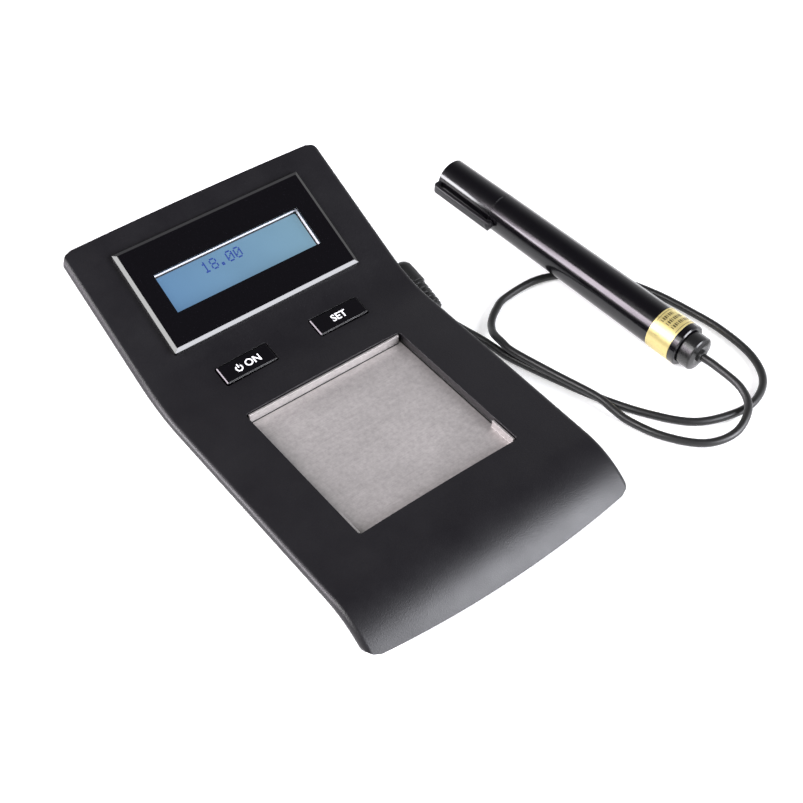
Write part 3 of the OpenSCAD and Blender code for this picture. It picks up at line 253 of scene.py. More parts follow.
VIOLET = (1.05, 0.92, 1.3)
looks = {
    # mouldings of the console
    "cover": surface("satin_cover", grey(0.0025, VIOLET), grey(0.005, VIOLET), (0.37, 0.45),
                     grain=(2100.0, 0.6), wear=0.05, specular=0.42),
    "base": surface("matt_base", grey(0.006), grey(0.010), (0.5, 0.62),
                    grain=(1800.0, 0.4), wear=0.1, specular=0.4),
    "gloss": surface("gloss_black", grey(0.0018, VIOLET), grey(0.0026, VIOLET), (0.07, 0.12),
                     grain=(900.0, 0.015), edge=0.00012, patch=90.0),
    "silver": surface("silver_frame", (0.84, 0.84, 0.90), (0.9, 0.9, 0.95), (0.3, 0.4),
                      grain=(1500.0, 0.08)),
    # painted shade: black for the thin dark ring round the display glass and for the strip at the
    # foot of the plate's lip
    "painted_shade_line": surface("painted_shade_black", grey(0.006), grey(0.009), (0.5, 0.6), grain=(1500.0, 0.2)),
    "rubber": surface("foot_rubber", grey(0.022), grey(0.03), (0.6, 0.75), grain=(2200.0, 0.5)),
    # probe
    "pen": surface("pen_black", grey(0.0018, VIOLET), grey(0.003, VIOLET), (0.12, 0.19),
                   grain=(900.0, 0.02), patch=90.0),
    "clip": surface("clip_black", grey(0.003, VIOLET), grey(0.005, VIOLET), (0.28, 0.36),
                    grain=(900.0, 0.03), edge=0.0004, patch=90.0),
    "knob": surface("knob_black", grey(0.008), grey(0.011), (0.22, 0.32),
                    grain=(1800.0, 0.08), wear=0.08),
    "plug": surface("plug_black", grey(0.010), grey(0.014), (0.38, 0.48),
                    grain=(2000.0, 0.25), wear=0.06),
    "cord": surface("cord_rubber", grey(0.006), grey(0.010), (0.36, 0.46),
                    grain=(2400.0, 0.3), patch=200.0),
    "brass": surface("pin_metal", (0.66, 0.56, 0.34), (0.74, 0.64, 0.42), (0.16, 0.28),
                     grain=(1200.0, 0.05), metal=1.0),
    "cartridge": surface("cartridge", (0.60, 0.64, 0.68), (0.68, 0.72, 0.75), (0.25, 0.35),
                         grain=(1200.0, 0.05)),
    "nose": surface("nose_metal", (0.55, 0.55, 0.57), (0.65, 0.65, 0.67), (0.2, 0.32),
                    grain=(2500.0, 0.1), metal=1.0),
    "felt": surface("felt", (0.66, 0.62, 0.54), (0.8, 0.77, 0.7), (0.8, 0.95),
                    grain=(3500.0, 0.9)),
    # electronics
    "board": surface("green_board", (0.012, 0.09, 0.035), (0.02, 0.13, 0.05), (0.3, 0.45),
                     grain=(1200.0, 0.1)),
    "steel": surface("screw_steel", (0.5, 0.5, 0.52), (0.6, 0.6, 0.62), (0.28, 0.42),
                     grain=(1500.0, 0.1), metal=1.0),
    "chip": surface("chip_black", grey(0.02), grey(0.03), (0.45, 0.6), grain=(2500.0, 0.3)),
    "switch": surface("switch_black", grey(0.03), grey(0.04), (0.4, 0.5), grain=(2000.0, 0.2)),
    "red": surface("red_wire", (0.42, 0.02, 0.015), (0.5, 0.035, 0.025), (0.35, 0.45),
                   grain=(1500.0, 0.1)),
    "ribbon": surface("grey_ribbon", (0.42, 0.42, 0.45), (0.52, 0.52, 0.55), (0.4, 0.5),
                      grain=(1500.0, 0.1)),
    "battery": surface("battery_case", (0.06, 0.10, 0.26), (0.08, 0.13, 0.32), (0.25, 0.35),
                       grain=(1200.0, 0.05), metal=0.4),
    "diffuser": surface("diffuser", (0.8, 0.83, 0.88), (0.86, 0.89, 0.93), (0.3, 0.4),
                        grain=(1200.0, 0.05)),
    # label and print
    "label": surface("gold_label", (0.52, 0.43, 0.16), (0.68, 0.58, 0.26), (0.24, 0.38),
                     grain=(700.0, 0.2), metal=0.5, patch=150.0),
    "ink": surface("gold_ink", (0.05, 0.035, 0.01), (0.08, 0.06, 0.02), (0.35, 0.5),
                   grain=(900.0, 0.15), metal=0.4),
    "print": surface("white_print", (0.78, 0.78, 0.8), (0.88, 0.88, 0.9), (0.35, 0.5),
                     grain=(2500.0, 0.1)),
    "digit": surface("display_digit", (0.012, 0.03, 0.16), (0.015, 0.035, 0.2), (0.3, 0.4),
                     grain=(1500.0, 0.05)),
}


def plate_look():
    """Satin steel: short fine brush lines across, and a fine mottle."""
    made = surface("plate_steel", (0.39, 0.365, 0.36), (0.49, 0.465, 0.455), (0.5, 0.62),
                   grain=(900.0, 0.35), metal=0.75, patch=45.0)
    tree = made.node_tree
    link = tree.links.new
    shader = tree.nodes["Principled BSDF"]
    shade = shader.inputs["Base Color"].links[0].from_node
    fine_normal = shader.inputs["Normal"].links[0].from_socket
    place = node_in(tree, "ShaderNodeTexCoord", (-1500, 700))
    stretch = node_in(tree, "ShaderNodeMapping", (-1300, 700))
    set_inputs(stretch, Scale=(60, 2600, 2600))
    lines = node_in(tree, "ShaderNodeTexNoise", (-1100, 700))
    set_inputs(lines, Scale=1, Detail=2)
    mottle = node_in(tree, "ShaderNodeTexNoise", (-1100, 1000))
    set_inputs(mottle, Scale=700, Detail=4, Roughness=0.7)
    spots = node_in(tree, "ShaderNodeMapRange", (-850, 1000))
    set_inputs(spots, From_Min=0.3, From_Max=0.7, To_Min=0.86, To_Max=1.12)
    blend = node_in(tree, "ShaderNodeMix", (-200, 800), data_type="RGBA", blend_type="MULTIPLY")
    set_inputs(blend, Factor=1)
    bump = node_in(tree, "ShaderNodeBump", (-250, -450))
    set_inputs(bump, Strength=0.25, Distance=0.00005)
    link(place.outputs["Object"], stretch.inputs["Vector"])
    link(stretch.outputs["Vector"], lines.inputs["Vector"])
    link(lines.outputs["Fac"], shade.inputs["Factor"])
    link(lines.outputs["Fac"], bump.inputs["Height"])
    link(fine_normal, bump.inputs["Normal"])
    link(place.outputs["Object"], mottle.inputs["Vector"])
    link(mottle.outputs["Fac"], spots.inputs["Value"])
    link(shade.outputs["Result"], blend.inputs["A"])
    link(spots.outputs["Result"], blend.inputs["B"])
    link(blend.outputs["Result"], shader.inputs["Base Color"])
    link(bump.outputs["Normal"], shader.inputs["Normal"])
    return made


DISPLAY_HALF_W = 32.5


def glass_look():
    """Lit display: blue, greener to the right, a little cloudy."""
    made = bpy.data.materials.new("display_glass")
    made.use_nodes = True
    tree = made.node_tree
    link = tree.links.new
    shader = tree.nodes["Principled BSDF"]
    set_inputs(shader, Roughness=0.2, Specular_IOR_Level=0.25, Emission_Strength=0.8,
               Base_Color=(0.02, 0.04, 0.06, 1))
    place = node_in(tree, "ShaderNodeTexCoord", (-1300, 0))
    split = node_in(tree, "ShaderNodeSeparateXYZ", (-1100, 0))
    along = node_in(tree, "ShaderNodeMapRange", (-900, 100))
    set_inputs(along, From_Min=(CONSOLE_X - DISPLAY_HALF_W) * MM,
               From_Max=(CONSOLE_X + DISPLAY_HALF_W) * MM)
    ramp = node_in(tree, "ShaderNodeValToRGB", (-650, 150))
    ramp.color_ramp.elements[0].color = (0.125, 0.245, 0.43, 1)
    ramp.color_ramp.elements[1].color = (0.215, 0.36, 0.455, 1)
    drift = node_in(tree, "ShaderNodeTexNoise", (-900, -250))
    set_inputs(drift, Scale=55)
    cloud = node_in(tree, "ShaderNodeMapRange", (-650, -250))
    set_inputs(cloud, To_Min=0.9, To_Max=1.1)
    shade = node_in(tree, "ShaderNodeMix", (-350, 100), data_type="RGBA", blend_type="MULTIPLY")
    set_inputs(shade, Factor=1)
    link(place.outputs["Object"], split.inputs["Vector"])
    link(split.outputs["X"], along.inputs["Value"])
    link(along.outputs["Result"], ramp.inputs["Fac"])
    link(place.outputs["Object"], drift.inputs["Vector"])
    link(drift.outputs["Fac"], cloud.inputs["Value"])
    link(ramp.outputs["Color"], shade.inputs["A"])
    link(cloud.outputs["Result"], shade.inputs["B"])
    link(shade.outputs["Result"], shader.inputs["Emission Color"])
    return made


looks["plate"] = plate_look()
looks["glass"] = glass_look()

worn_by = {
    "cover": ["top_cover"],
    "base": ["base_shell", "plate_holder", "battery_door"],
    "gloss": ["display_bezel", "left_key", "right_key"],
    "silver": ["lcd_frame"], "glass": ["lcd_glass"], "diffuser": ["lcd_backlight"],
    "board": ["lcd_board", "key_board", "main_board"],
    "steel": ["lcd_screws", "key_board_screws", "board_screws", "case_screws"],
    "switch": ["key_switches", "battery_snap"], "chip": ["board_parts"],
    "plate": ["test_plate"], "red": ["plate_lead", "battery_leads"],
    "plug": ["probe_socket", "dc_jack", "plug_body", "strain_relief", "cord_sleeve"],
    "battery": ["battery"], "ribbon": ["ribbon_cable"], "rubber": ["feet"],
    "brass": ["plug_pin"], "cord": ["probe_lead"],
    "pen": ["pen_barrel", "tail_collar", "pen_cap", "pen_clip"],
    "label": ["label_band"], "cartridge": ["gel_cartridge", "feed_tube"],
    "nose": ["nose_cone"], "felt": ["felt_tip"], "knob": ["feed_knob"],
}
for look, wearers in worn_by.items():
    for wearer in wearers:
        nodes[wearer].data.materials.clear()
        nodes[wearer].data.materials.append(looks[look])

# ---- making pieces ----


def piece(name, mesh, look, body):
    """An object for a mesh, finished and riding on a body."""
    made = bpy.data.objects.new(name, mesh)
    bpy.context.scene.collection.objects.link(made)
    made.data.materials.append(looks[look])
    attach(made, body)
    return made


def mesh_of(name, points, faces, place, smooth=False):
    """A mesh from points in a frame, with its faces turned outwards."""
    mesh = bpy.data.meshes.new(name)
    mesh.from_pydata([(place @ Vector(p)) * MM for p in points], [], faces)
    shape = bmesh.new()
    shape.from_mesh(mesh)
    bmesh.ops.remove_doubles(shape, verts=shape.verts, dist=1e-7)
    bmesh.ops.recalc_face_normals(shape, faces=shape.faces)
    shape.to_mesh(mesh)
    shape.free()
    if smooth:
        mesh.shade_smooth()
    return mesh


def round_rect(w, l, r, steps=8):
    """Outline of a rectangle with round corners, about its middle."""
    return [(sx * (w / 2 - r) + r * cos(a), sy * (l / 2 - r) + r * sin(a))
            for sx, sy, start in ((1, 1, 0), (-1, 1, 90), (-1, -1, 180), (1, -1, 270))
            for a in [radians(start + 90 * k / steps) for k in range(steps + 1)]]


def prism(name, outline, low, high, place):
    """An outline raised from one height to another."""
    count = len(outline)
    points = [(x, y, z) for z in (low, high) for x, y in outline]
    faces = [tuple(range(count)), tuple(range(count, 2 * count))]
    faces += [(k, (k + 1) % count, count + (k + 1) % count, count + k) for k in range(count)]
    return mesh_of(name, points, faces, place)


def ring_prism(name, outer, inner, low, high, place):
    """Flat ring between two outlines of as many points."""
    count = len(outer)
    points = [(x, y, z) for z in (low, high) for x, y in outer + inner]
    faces = []
    for k in range(count):
        n = (k + 1) % count
        faces += [(k, n, count + n, count + k),
                  (2 * count + k, 3 * count + k, 3 * count + n, 2 * count + n),
                  (k, 2 * count + k, 2 * count + n, n),
                  (count + k, count + n, 3 * count + n, 3 * count + k)]
    return mesh_of(name, points, faces, place)


# ---- the probe's lead: out of the plug's relief, round twice, and into the pen ----

LEAD_D, DESK_GAP, LEAD_STEPS = 3.2, 0.05, 6
RELIEF_L, RELIEF_A = 6 + 13.5, radians(12)
PLUG_X, PLUG_Y, PLUG_Z = 24.4, 42, 12
LEAD = [
    (24.5, 19.4, 7.2), (25.7, 15.4, 5.6), (27.8, 11.4, 3.9), (31.6, 2.8, 1.8),
    (32.7, -4, 1.7), (34, -12, 1.7), (39.8, -30, 1.7), (46.6, -48.5, 1.7),
    (55.4, -65.6, 1.7), (66.6, -79.6, 1.7), (81, -85.7, 1.7), (93, -86.2, 1.7),
    (104.2, -80.4, 1.7), (110.6, -68.2, 1.7), (111.8, -51, 1.7),
    (109.6, -35.6, 1.7), (106, -20, 1.7), (99.4, -4.4, 1.7), (88.4, 8.4, 1.7),
    (73.4, 16, 1.7), (55.4, 15.8, 1.7), (47.6, 12.8, 1.7), (41.8, 8.8, 1.8),
    (38.2, 4.6, 2.5), (36, 0.6, 3.7), (34.8, -5, 4.9), (34.5, -12, 5.2),
    (38.9, -30.2, 5.1), (44.4, -49, 4.5), (45.9, -57, 2.9), (47.3, -64.4, 1.8),
    (52.2, -77.6, 1.7), (62, -89.6, 1.7), (74.2, -93.4, 2.6), (85, -89.4, 5),
    (89.5, -81, 6.9), (89.4, -68.6, 8.1)]


def smooth_line(points, steps, low):
    """Points on one smooth curve through the given ones, kept off the desk."""
    line = []
    for i in range(len(points) - 1):
        a, b = points[i], points[i + 1]
        before = points[i - 1] if i else 2 * a - b
        after = points[i + 2] if i + 2 < len(points) else 2 * b - a
        for k in range(steps):
            t = k / steps
            p = 0.5 * (2 * a + (b - before) * t
                       + (2 * before - 5 * a + 4 * b - after) * t * t
                       + (3 * a - before - 3 * b + after) * t ** 3)
            line.append(Vector((p.x, p.y, max(p.z, low))))
    return line + [points[-1]]


lead_exit = Vector((PLUG_X, PLUG_Y - RELIEF_L * cos(RELIEF_A), PLUG_Z - RELIEF_L * sin(RELIEF_A)))
lead_end = PEN @ Vector((0, 0, -1))
lead_line = smooth_line([lead_exit, *[Vector(p) for p in LEAD], lead_end],
                        LEAD_STEPS, LEAD_D / 2 + DESK_GAP)
lead_curve = bpy.data.curves.new("lead", "CURVE")
lead_curve.dimensions = "3D"
lead_curve.bevel_depth = LEAD_D / 2 * MM
lead_curve.bevel_resolution = 5
lead_curve.use_fill_caps = True
spline = lead_curve.splines.new("POLY")
spline.points.add(len(lead_line) - 1)
for point, place in zip(spline.points, lead_line):
    point.co = (*(place * MM), 1)
spline.use_smooth = True
lead = piece("lead", lead_curve, "cord", "probe")
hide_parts("probe_lead")

# ---- cover: one shell, its surfaces carried along the console's side line ----

# in plan its front is bowed between round corners, and its rear corners are round
TRIM = COVER_W / 2 + 0.02
FRONT_R, REAR_R, BOW = 6, 5, 3.2
BOW_R = COVER_W ** 2 / 8 / BOW
CORNER_X = TRIM - FRONT_R
CORNER_Y = BOW_R - sqrt((BOW_R - FRONT_R) ** 2 - CORNER_X ** 2)
TANGENT_X = BOW_R * CORNER_X / (BOW_R - FRONT_R)


def front_trim(x):
    """How far the front edge lies behind its foremost point at x."""
    x = abs(x)
    if x <= TANGENT_X:
        return BOW_R - sqrt(BOW_R ** 2 - x * x)
    return CORNER_Y - sqrt(max(FRONT_R ** 2 - (x - CORNER_X) ** 2, 0))


def rear_trim(x):
    """How far the rear edge lies before its rearmost point at x."""
    over = abs(x) - (TRIM - REAR_R)
    return 0 if over <= 0 else REAR_R - sqrt(max(REAR_R ** 2 - over * over, 0))


def station(part, share, x, n):
    """Place on the console's line: part 0 nose, 1 deck, 2 bend, 3 slope."""
    if part == 0:
        t = (NOSE_A - asin(front_trim(x) / (NOSE_R + n))) * (1 - share)
        y, z = DECK_FRONT - NOSE_R * sin(t), RIM_H - NOSE_R * (1 - cos(t))
    elif part == 1:
        t, y, z = 0, DECK_FRONT + (DECK_REAR - DECK_FRONT) * share, RIM_H
    elif part == 2:
        t = SLOPE_A * share
        y, z = DECK_REAR + BEND_R * sin(t), RIM_H + BEND_R * (1 - cos(t))
    else:
        t, s = SLOPE_A, (SLOPE_L - rear_trim(x)) * share
        y, z = BEND_Y + s * cos(t), BEND_Z + s * sin(t)
    return x, y - n * sin(t), z + n * cos(t)


def loft(name, tops, bottoms, rows):
    """Closed mesh between paired top and bottom lines carried along rows."""
    count, last = len(tops), len(rows) - 1
    points = [station(part, share, x, n) for part, share in rows for x, n in tops + bottoms]
    wide = 2 * count
    faces = []
    for i in range(last):
        for k in range(count - 1):
            a = i * wide + k
            faces.append((a, a + 1, a + wide + 1, a + wide))
            b = a + count
            faces.append((b, b + wide, b + wide + 1, b + 1))
        for k in (0, count - 1):
            a = i * wide + k
            faces.append((a, a + wide, a + wide + count, a + count))
    for i in (0, last):
        for k in range(count - 1):
            a = i * wide + k
            faces.append((a, a + 1, a + count + 1, a + count))
    faces = [f for f in faces if len({points[k] for k in f}) > 2]
    return mesh_of(name, points, faces, CONSOLE, smooth=True)


def cut(made, cutter):
    """Takes the cutter's shape out of a mesh piece, for good."""
    tool = bpy.data.objects.new("cutter", cutter)
    bpy.context.scene.collection.objects.link(tool)
    step = made.modifiers.new("cut", "BOOLEAN")
    step.operation, step.solver, step.object = "DIFFERENCE", "EXACT", tool
    bpy.context.view_layer.update()
    seen_shape = made.evaluated_get(bpy.context.evaluated_depsgraph_get())
    shape = bpy.data.meshes.new_from_object(seen_shape)
    made.modifiers.clear()
    made.data = shape
    bpy.data.objects.remove(tool)


# across the cover: a quarter round bead at each side, and the crown between them
BEAD_STEPS, ACROSS_STEPS = 12, 44
bead = [pi - k * pi / 2 / BEAD_STEPS for k in range(BEAD_STEPS + 1)]
left_side = [(-HALF_LINE + RIM_R * cos(a), RIM_R * sin(a)) for a in bead]
right_side = [(-x, n) for x, n in reversed(left_side)]
middle = [-HALF_LINE + 2 * HALF_LINE * k / ACROSS_STEPS for k in range(1, ACROSS_STEPS)]
tops = left_side + [(x, RIM_R + crown_at(x)) for x in middle] + right_side
bottoms = [(x, -n) for x, n in left_side] + [(x, -RIM_R) for x in middle]
bottoms += [(x, -n) for x, n in right_side]
# along it: (part, share of it)
NOSE_STEPS, DECK_STEPS, BEND_STEPS, SLOPE_STEPS = 30, 26, 10, 20
rows = ([(0, k / NOSE_STEPS) for k in range(NOSE_STEPS)]
        + [(1, k / DECK_STEPS) for k in range(DECK_STEPS)]
        + [(2, k / BEND_STEPS) for k in range(BEND_STEPS)]
        + [(3, k / SLOPE_STEPS) for k in range(SLOPE_STEPS + 1)])
cover_mesh = loft("cover_shell", tops, bottoms, rows)
cover = piece("cover_shell", cover_mesh, "cover", "console")
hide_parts("top_cover")

OPENING_W, OPENING_L, OPENING_R = 70, 68, 1
BEZEL_W, BEZEL_L, BEZEL_LIP, BEZEL_R = 84, 45.4, 1.6, 1.5
RECESS_W, RECESS_L, RECESS_R, RECESS_D = 23, 9.2, 1, 3
KEY_X = 21
CUT_LOW, CUT_HIGH = -5, 15
cut(cover, prism("opening", round_rect(OPENING_W, OPENING_L, OPENING_R),
                 CUT_LOW, CUT_HIGH, CONSOLE @ moved(0, 0, RIM_H)))
cut(cover, prism("window", round_rect(BEZEL_W - 2 * BEZEL_LIP, BEZEL_L - 2 * BEZEL_LIP, BEZEL_R),
                 CUT_LOW, CUT_HIGH, SLOPE))
for side in (-1, 1):
    cut(cover, prism("recess", round_rect(RECESS_W, RECESS_L, RECESS_R),
                     -RECESS_D, CUT_HIGH, KEYS @ moved(KEY_X * side, 0, 0)))

# its underside is hollow between the side walls, from the nose to under the display
HOLLOW_HALF_W, HOLLOW_TOP, HOLLOW_LOW = 42, 0.2, -5.2
HOLLOW_START, HOLLOW_END = 0.34, 0.84
under_rows = ([(0, HOLLOW_START + (1 - HOLLOW_START) * k / 8) for k in range(8)]
              + [(1, k / 4) for k in range(4)] + [(2, k / 4) for k in range(4)]
              + [(3, HOLLOW_END * k / 4) for k in range(5)])
under_x = [-HOLLOW_HALF_W + 2 * HOLLOW_HALF_W * k / 4 for k in range(5)]
cut(cover, loft("hollow", [(x, HOLLOW_TOP) for x in under_x],
                [(x, HOLLOW_LOW) for x in under_x], under_rows))
cover.data.shade_smooth()
cover.data.set_sharp_from_angle(angle=radians(35))

# ---- painted shade: a thin dark strip where the plate folds up into its rear lip ----

CREASE_W, CREASE_L, CREASE_R, CREASE_Y = 67.6, 0.55, 0.2, 32.6
PLATE_TOP, CREASE_RISE = 18, 0.04
# painted shade: a dark strip laid on the plate at the foot of the lip
crease_shade = prism("plate_crease_shade", round_rect(CREASE_W, CREASE_L, CREASE_R, 3),
               PLATE_TOP, PLATE_TOP + CREASE_RISE, CONSOLE @ moved(0, CREASE_Y, 0))
piece("plate_crease_shade", crease_shade, "painted_shade_line", "console")

# ---- clip of the pen's cap: one strap bent over from the closed end ----

STRAP_W, STRAP_T, STRAP_CORNER = 4, 1.8, 0.55
CLIP_BEND_X, CLIP_BEND_S, CLIP_BEND_R = -9.3, 137.2, 1.25
CLIP_END_S = CLIP_BEND_S + CLIP_BEND_R
CLIP_X = CLIP_BEND_X - CLIP_BEND_R
CLIP_ROOT_XS, CLIP_STRAP_SS = (-6.6, -8), (132, 122, 112, 107, 105.9, 105.5)
TIP_TAPER = 0.6
FOOT_X, FOOT_S, FOOT_R, FOOT_STEPS, FOOT_SIDES = -9.75, 107, 2, 12, 24


def strap(path, width, thick, corner):
    """Closed strip with round corners along points (x, s) of the pen's side view."""
    section = round_rect(thick, width, corner, 4)
    count = len(section)
    points = []
    for i, (x, s) in enumerate(path):
        a, b = path[max(i - 1, 0)], path[min(i + 1, len(path) - 1)]
        length = sqrt((b[0] - a[0]) ** 2 + (b[1] - a[1]) ** 2)
        out = ((b[1] - a[1]) / length, -(b[0] - a[0]) / length)
        taper = 1 if 0 < i < len(path) - 1 else TIP_TAPER
        points += [(x + u * taper * out[0], v * taper, s + u * taper * out[1])
                   for u, v in section]
    faces = [tuple(range(count)), tuple(range(len(points) - count, len(points)))]
    for i in range(len(path) - 1):
        for k in range(count):
            n = (k + 1) % count
            faces.append((i * count + k, i * count + n, (i + 1) * count + n, (i + 1) * count + k))
    return points, faces


def foot(base):
    """The ball that the strap presses on the cap; base is its first point's number."""
    points, faces = [], []
    for k in range(FOOT_STEPS + 1):
        a = pi * k / FOOT_STEPS
        for m in range(FOOT_SIDES):
            turn = 2 * pi * m / FOOT_SIDES
            points.append((FOOT_X - FOOT_R * cos(a), FOOT_R * sin(a) * sin(turn),
                           FOOT_S + FOOT_R * sin(a) * cos(turn)))
    for k in range(FOOT_STEPS):
        near, far = base + FOOT_SIDES * k, base + FOOT_SIDES * (k + 1)
        for m in range(FOOT_SIDES):
            n = (m + 1) % FOOT_SIDES
            faces.append((near + m, near + n, far + n, far + m))
    return points, faces


bend = [(CLIP_BEND_X - CLIP_BEND_R * sin(radians(a)), CLIP_BEND_S + CLIP_BEND_R * cos(radians(a)))
        for a in range(0, 91, 10)]
clip_path = [(x, CLIP_END_S) for x in CLIP_ROOT_XS] + bend
clip_path += [(CLIP_X, s) for s in CLIP_STRAP_SS]
points, faces = strap(clip_path, STRAP_W, STRAP_T, STRAP_CORNER)
foot_points, foot_faces = foot(len(points))
clip_mesh = mesh_of("cap_clip", points + foot_points, faces + foot_faces, PEN, smooth=True)
clip_mesh.set_sharp_from_angle(angle=radians(50))
clip = piece("cap_clip", clip_mesh, "clip", "pen_cap")
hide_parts("pen_clip")

# ---- display: characters of 5 by 7 dots on the glass, and a dark ring round it as painted shade ----

GLASS_TOP, DOT_RISE = 2.2, 0.015
DOT_W, DOT_L, DOT_STEP_X, DOT_STEP_Y = 0.56, 0.62, 0.6, 0.68
FIRST_X, FIRST_Y, CELL_STEP = -13.4, 5.6, 3.62
DIGITS = {
    "1": ["00100", "01100", "00100", "00100", "00100", "00100", "01110"],
    "8": ["01110", "10001", "10001", "01110", "10001", "10001", "01110"],
    "0": ["01110", "10001", "10011", "10101", "11001", "10001", "01110"],
    ".": ["00000", "00000", "00000", "00000", "00000", "01100", "01100"],
}


def box(x_low, x_high, y_low, y_high, z_low, z_high, base):
    """Points and faces of a block; base is its first point's number."""
    corners = ((x_low, y_low), (x_high, y_low), (x_high, y_high), (x_low, y_high))
    points = [(x, y, z) for z in (z_low, z_high) for x, y in corners]
    faces = [(base, base + 3, base + 2, base + 1), (base + 4, base + 5, base + 6, base + 7)]
    for k in range(4):
        n = (k + 1) % 4
        faces.append((base + k, base + n, base + 4 + n, base + 4 + k))
    return points, faces


def dots(words):
    """Points and faces of the lit dots of words on the glass."""
    points, faces = [], []
    for place, letter in enumerate(words):
        for row, line in enumerate(DIGITS[letter]):
            for column, lit in enumerate(line):
                if lit == "1":
                    x = FIRST_X + place * CELL_STEP + column * DOT_STEP_X
                    y = FIRST_Y - row * DOT_STEP_Y
                    more = box(x, x + DOT_W, y, y + DOT_L, GLASS_TOP, GLASS_TOP + DOT_RISE,
                               len(points))
                    points += more[0]
                    faces += more[1]
    return points, faces


points, faces = dots("18.00")
piece("display_digits", mesh_of("display_digits", points, faces, DISPLAY),
      "digit", "console")

# painted shade: a thin dark ring on the glass along its edge, where the window's walls meet it
SHADOW_RING_OUTER, SHADOW_RING_INNER, SHADOW_RING_T = (65.2, 17.4, 0.2), (64.2, 16.4, 0.8), 0.25
painted_shade_line = ring_prism("display_shadow_ring", round_rect(*SHADOW_RING_OUTER, 2), round_rect(*SHADOW_RING_INNER, 2),
                    GLASS_TOP, GLASS_TOP + SHADOW_RING_T, DISPLAY)
piece("display_shadow_ring", painted_shade_line, "painted_shade_line", "console")

# ---- print on the foil label: two lines round it and plain rows of marks ----

BARREL_S, BARREL_L = 9.5, 99.5
BARREL_R, BARREL_END_R = 8.75, 8.25
FOIL_T, PRINT_LOW, PRINT_HIGH = 0.15, 0.005, 0.02
LABEL_S, LABEL_L = 9.7, 11
LINE_TURNS, LINE_IN, LINE_W = (-34, 46), 0.8, 0.2
MARK_ROWS, MARKS_IN_ROW, MARK_S, MARK_ROW_STEP, MARK_L = 3, 11, 12.1, 2.6, 1.5
MARK_TURN, MARK_STEP, MARK_WIDE, MARK_NARROW = -28, 6.4, 4, 2.2


def on_label(turn, s, rise):
    """Place on the label: turn in degrees about the pen from its top."""
    barrel_r = BARREL_R + (BARREL_END_R - BARREL_R) * (s - BARREL_S) / BARREL_L
    r = barrel_r + FOIL_T + rise
    return r * sin(radians(turn)), -r * cos(radians(turn)), s


def printed(marks):
    """Thin curved marks (turn from, turn to, start, end) on the label."""
    points, faces = [], []
    for turn_a, turn_b, start, end in marks:
        steps = max(1, round((turn_b - turn_a) / 4))
        base = len(points)
        for k in range(steps + 1):
            turn = turn_a + (turn_b - turn_a) * k / steps
            points += [on_label(turn, s, rise) for s in (start, end)
                       for rise in (PRINT_LOW, PRINT_HIGH)]
        for k in range(steps):
            a = base + 4 * k
            faces += [(a + 1, a + 3, a + 7, a + 5), (a, a + 4, a + 6, a + 2),
                      (a, a + 1, a + 5, a + 4), (a + 2, a + 6, a + 7, a + 3)]
        last = base + 4 * steps
        faces += [(base, base + 2, base + 3, base + 1), (last, last + 1, last + 3, last + 2)]
    return points, faces


near_line, far_line = LABEL_S + LINE_IN, LABEL_S + LABEL_L - LINE_IN - LINE_W
marks = [(*LINE_TURNS, s, s + LINE_W) for s in (near_line, far_line)]
for row in range(MARK_ROWS):
    s = MARK_S + MARK_ROW_STEP * row
    for k in range(MARKS_IN_ROW - 2 * row):
        turn = MARK_TURN + MARK_STEP * k
        marks.append((turn, turn + (MARK_WIDE if k % 3 else MARK_NARROW), s, s + MARK_L))
points, faces = printed(marks)
piece("label_print", mesh_of("label_print", points, faces, PEN), "ink", "probe")

# ---- key legends ----

KEY_RISE = 0.8
KEY_TOP = RIM_R + crown_at(KEY_X) + KEY_RISE
LETTER_L, LETTER_T, LETTER_BOLD, LETTER_RISE = 4.3, 0.01, 0.02, 0.012
ON_X, LETTER_Y = 2.6 - KEY_X, -0.1
SIGN_X, SIGN_Y, SIGN_RISE = -3.6 - KEY_X, -0.3, 0.004
SIGN_R, SIGN_INNER_R, SIGN_T, SIGN_STEPS = 1.55, 1.0, 0.012, 20
SIGN_OPEN_A = 76
BAR_HALF_W, BAR_LOW, BAR_HIGH = 0.28, 0.2, 1.95


def legend(name, words, place, body):
    """Printed letters, a hair above the key's face."""
    text = bpy.data.curves.new(name, "FONT")
    text.body = words
    text.size = LETTER_L * MM
    text.offset = LETTER_BOLD * LETTER_L * MM
    text.extrude = LETTER_T * MM
    text.align_x, text.align_y = "CENTER", "CENTER"
    made = bpy.data.objects.new(name, text)
    bpy.context.scene.collection.objects.link(made)
    bpy.context.view_layer.update()
    seen_shape = made.evaluated_get(bpy.context.evaluated_depsgraph_get())
    mesh = bpy.data.meshes.new_from_object(seen_shape)
    bpy.data.objects.remove(made)
    mesh.transform(Matrix.Scale(MM, 4) @ place @ Matrix.Scale(1 / MM, 4))
    piece(name, mesh, "print", body)


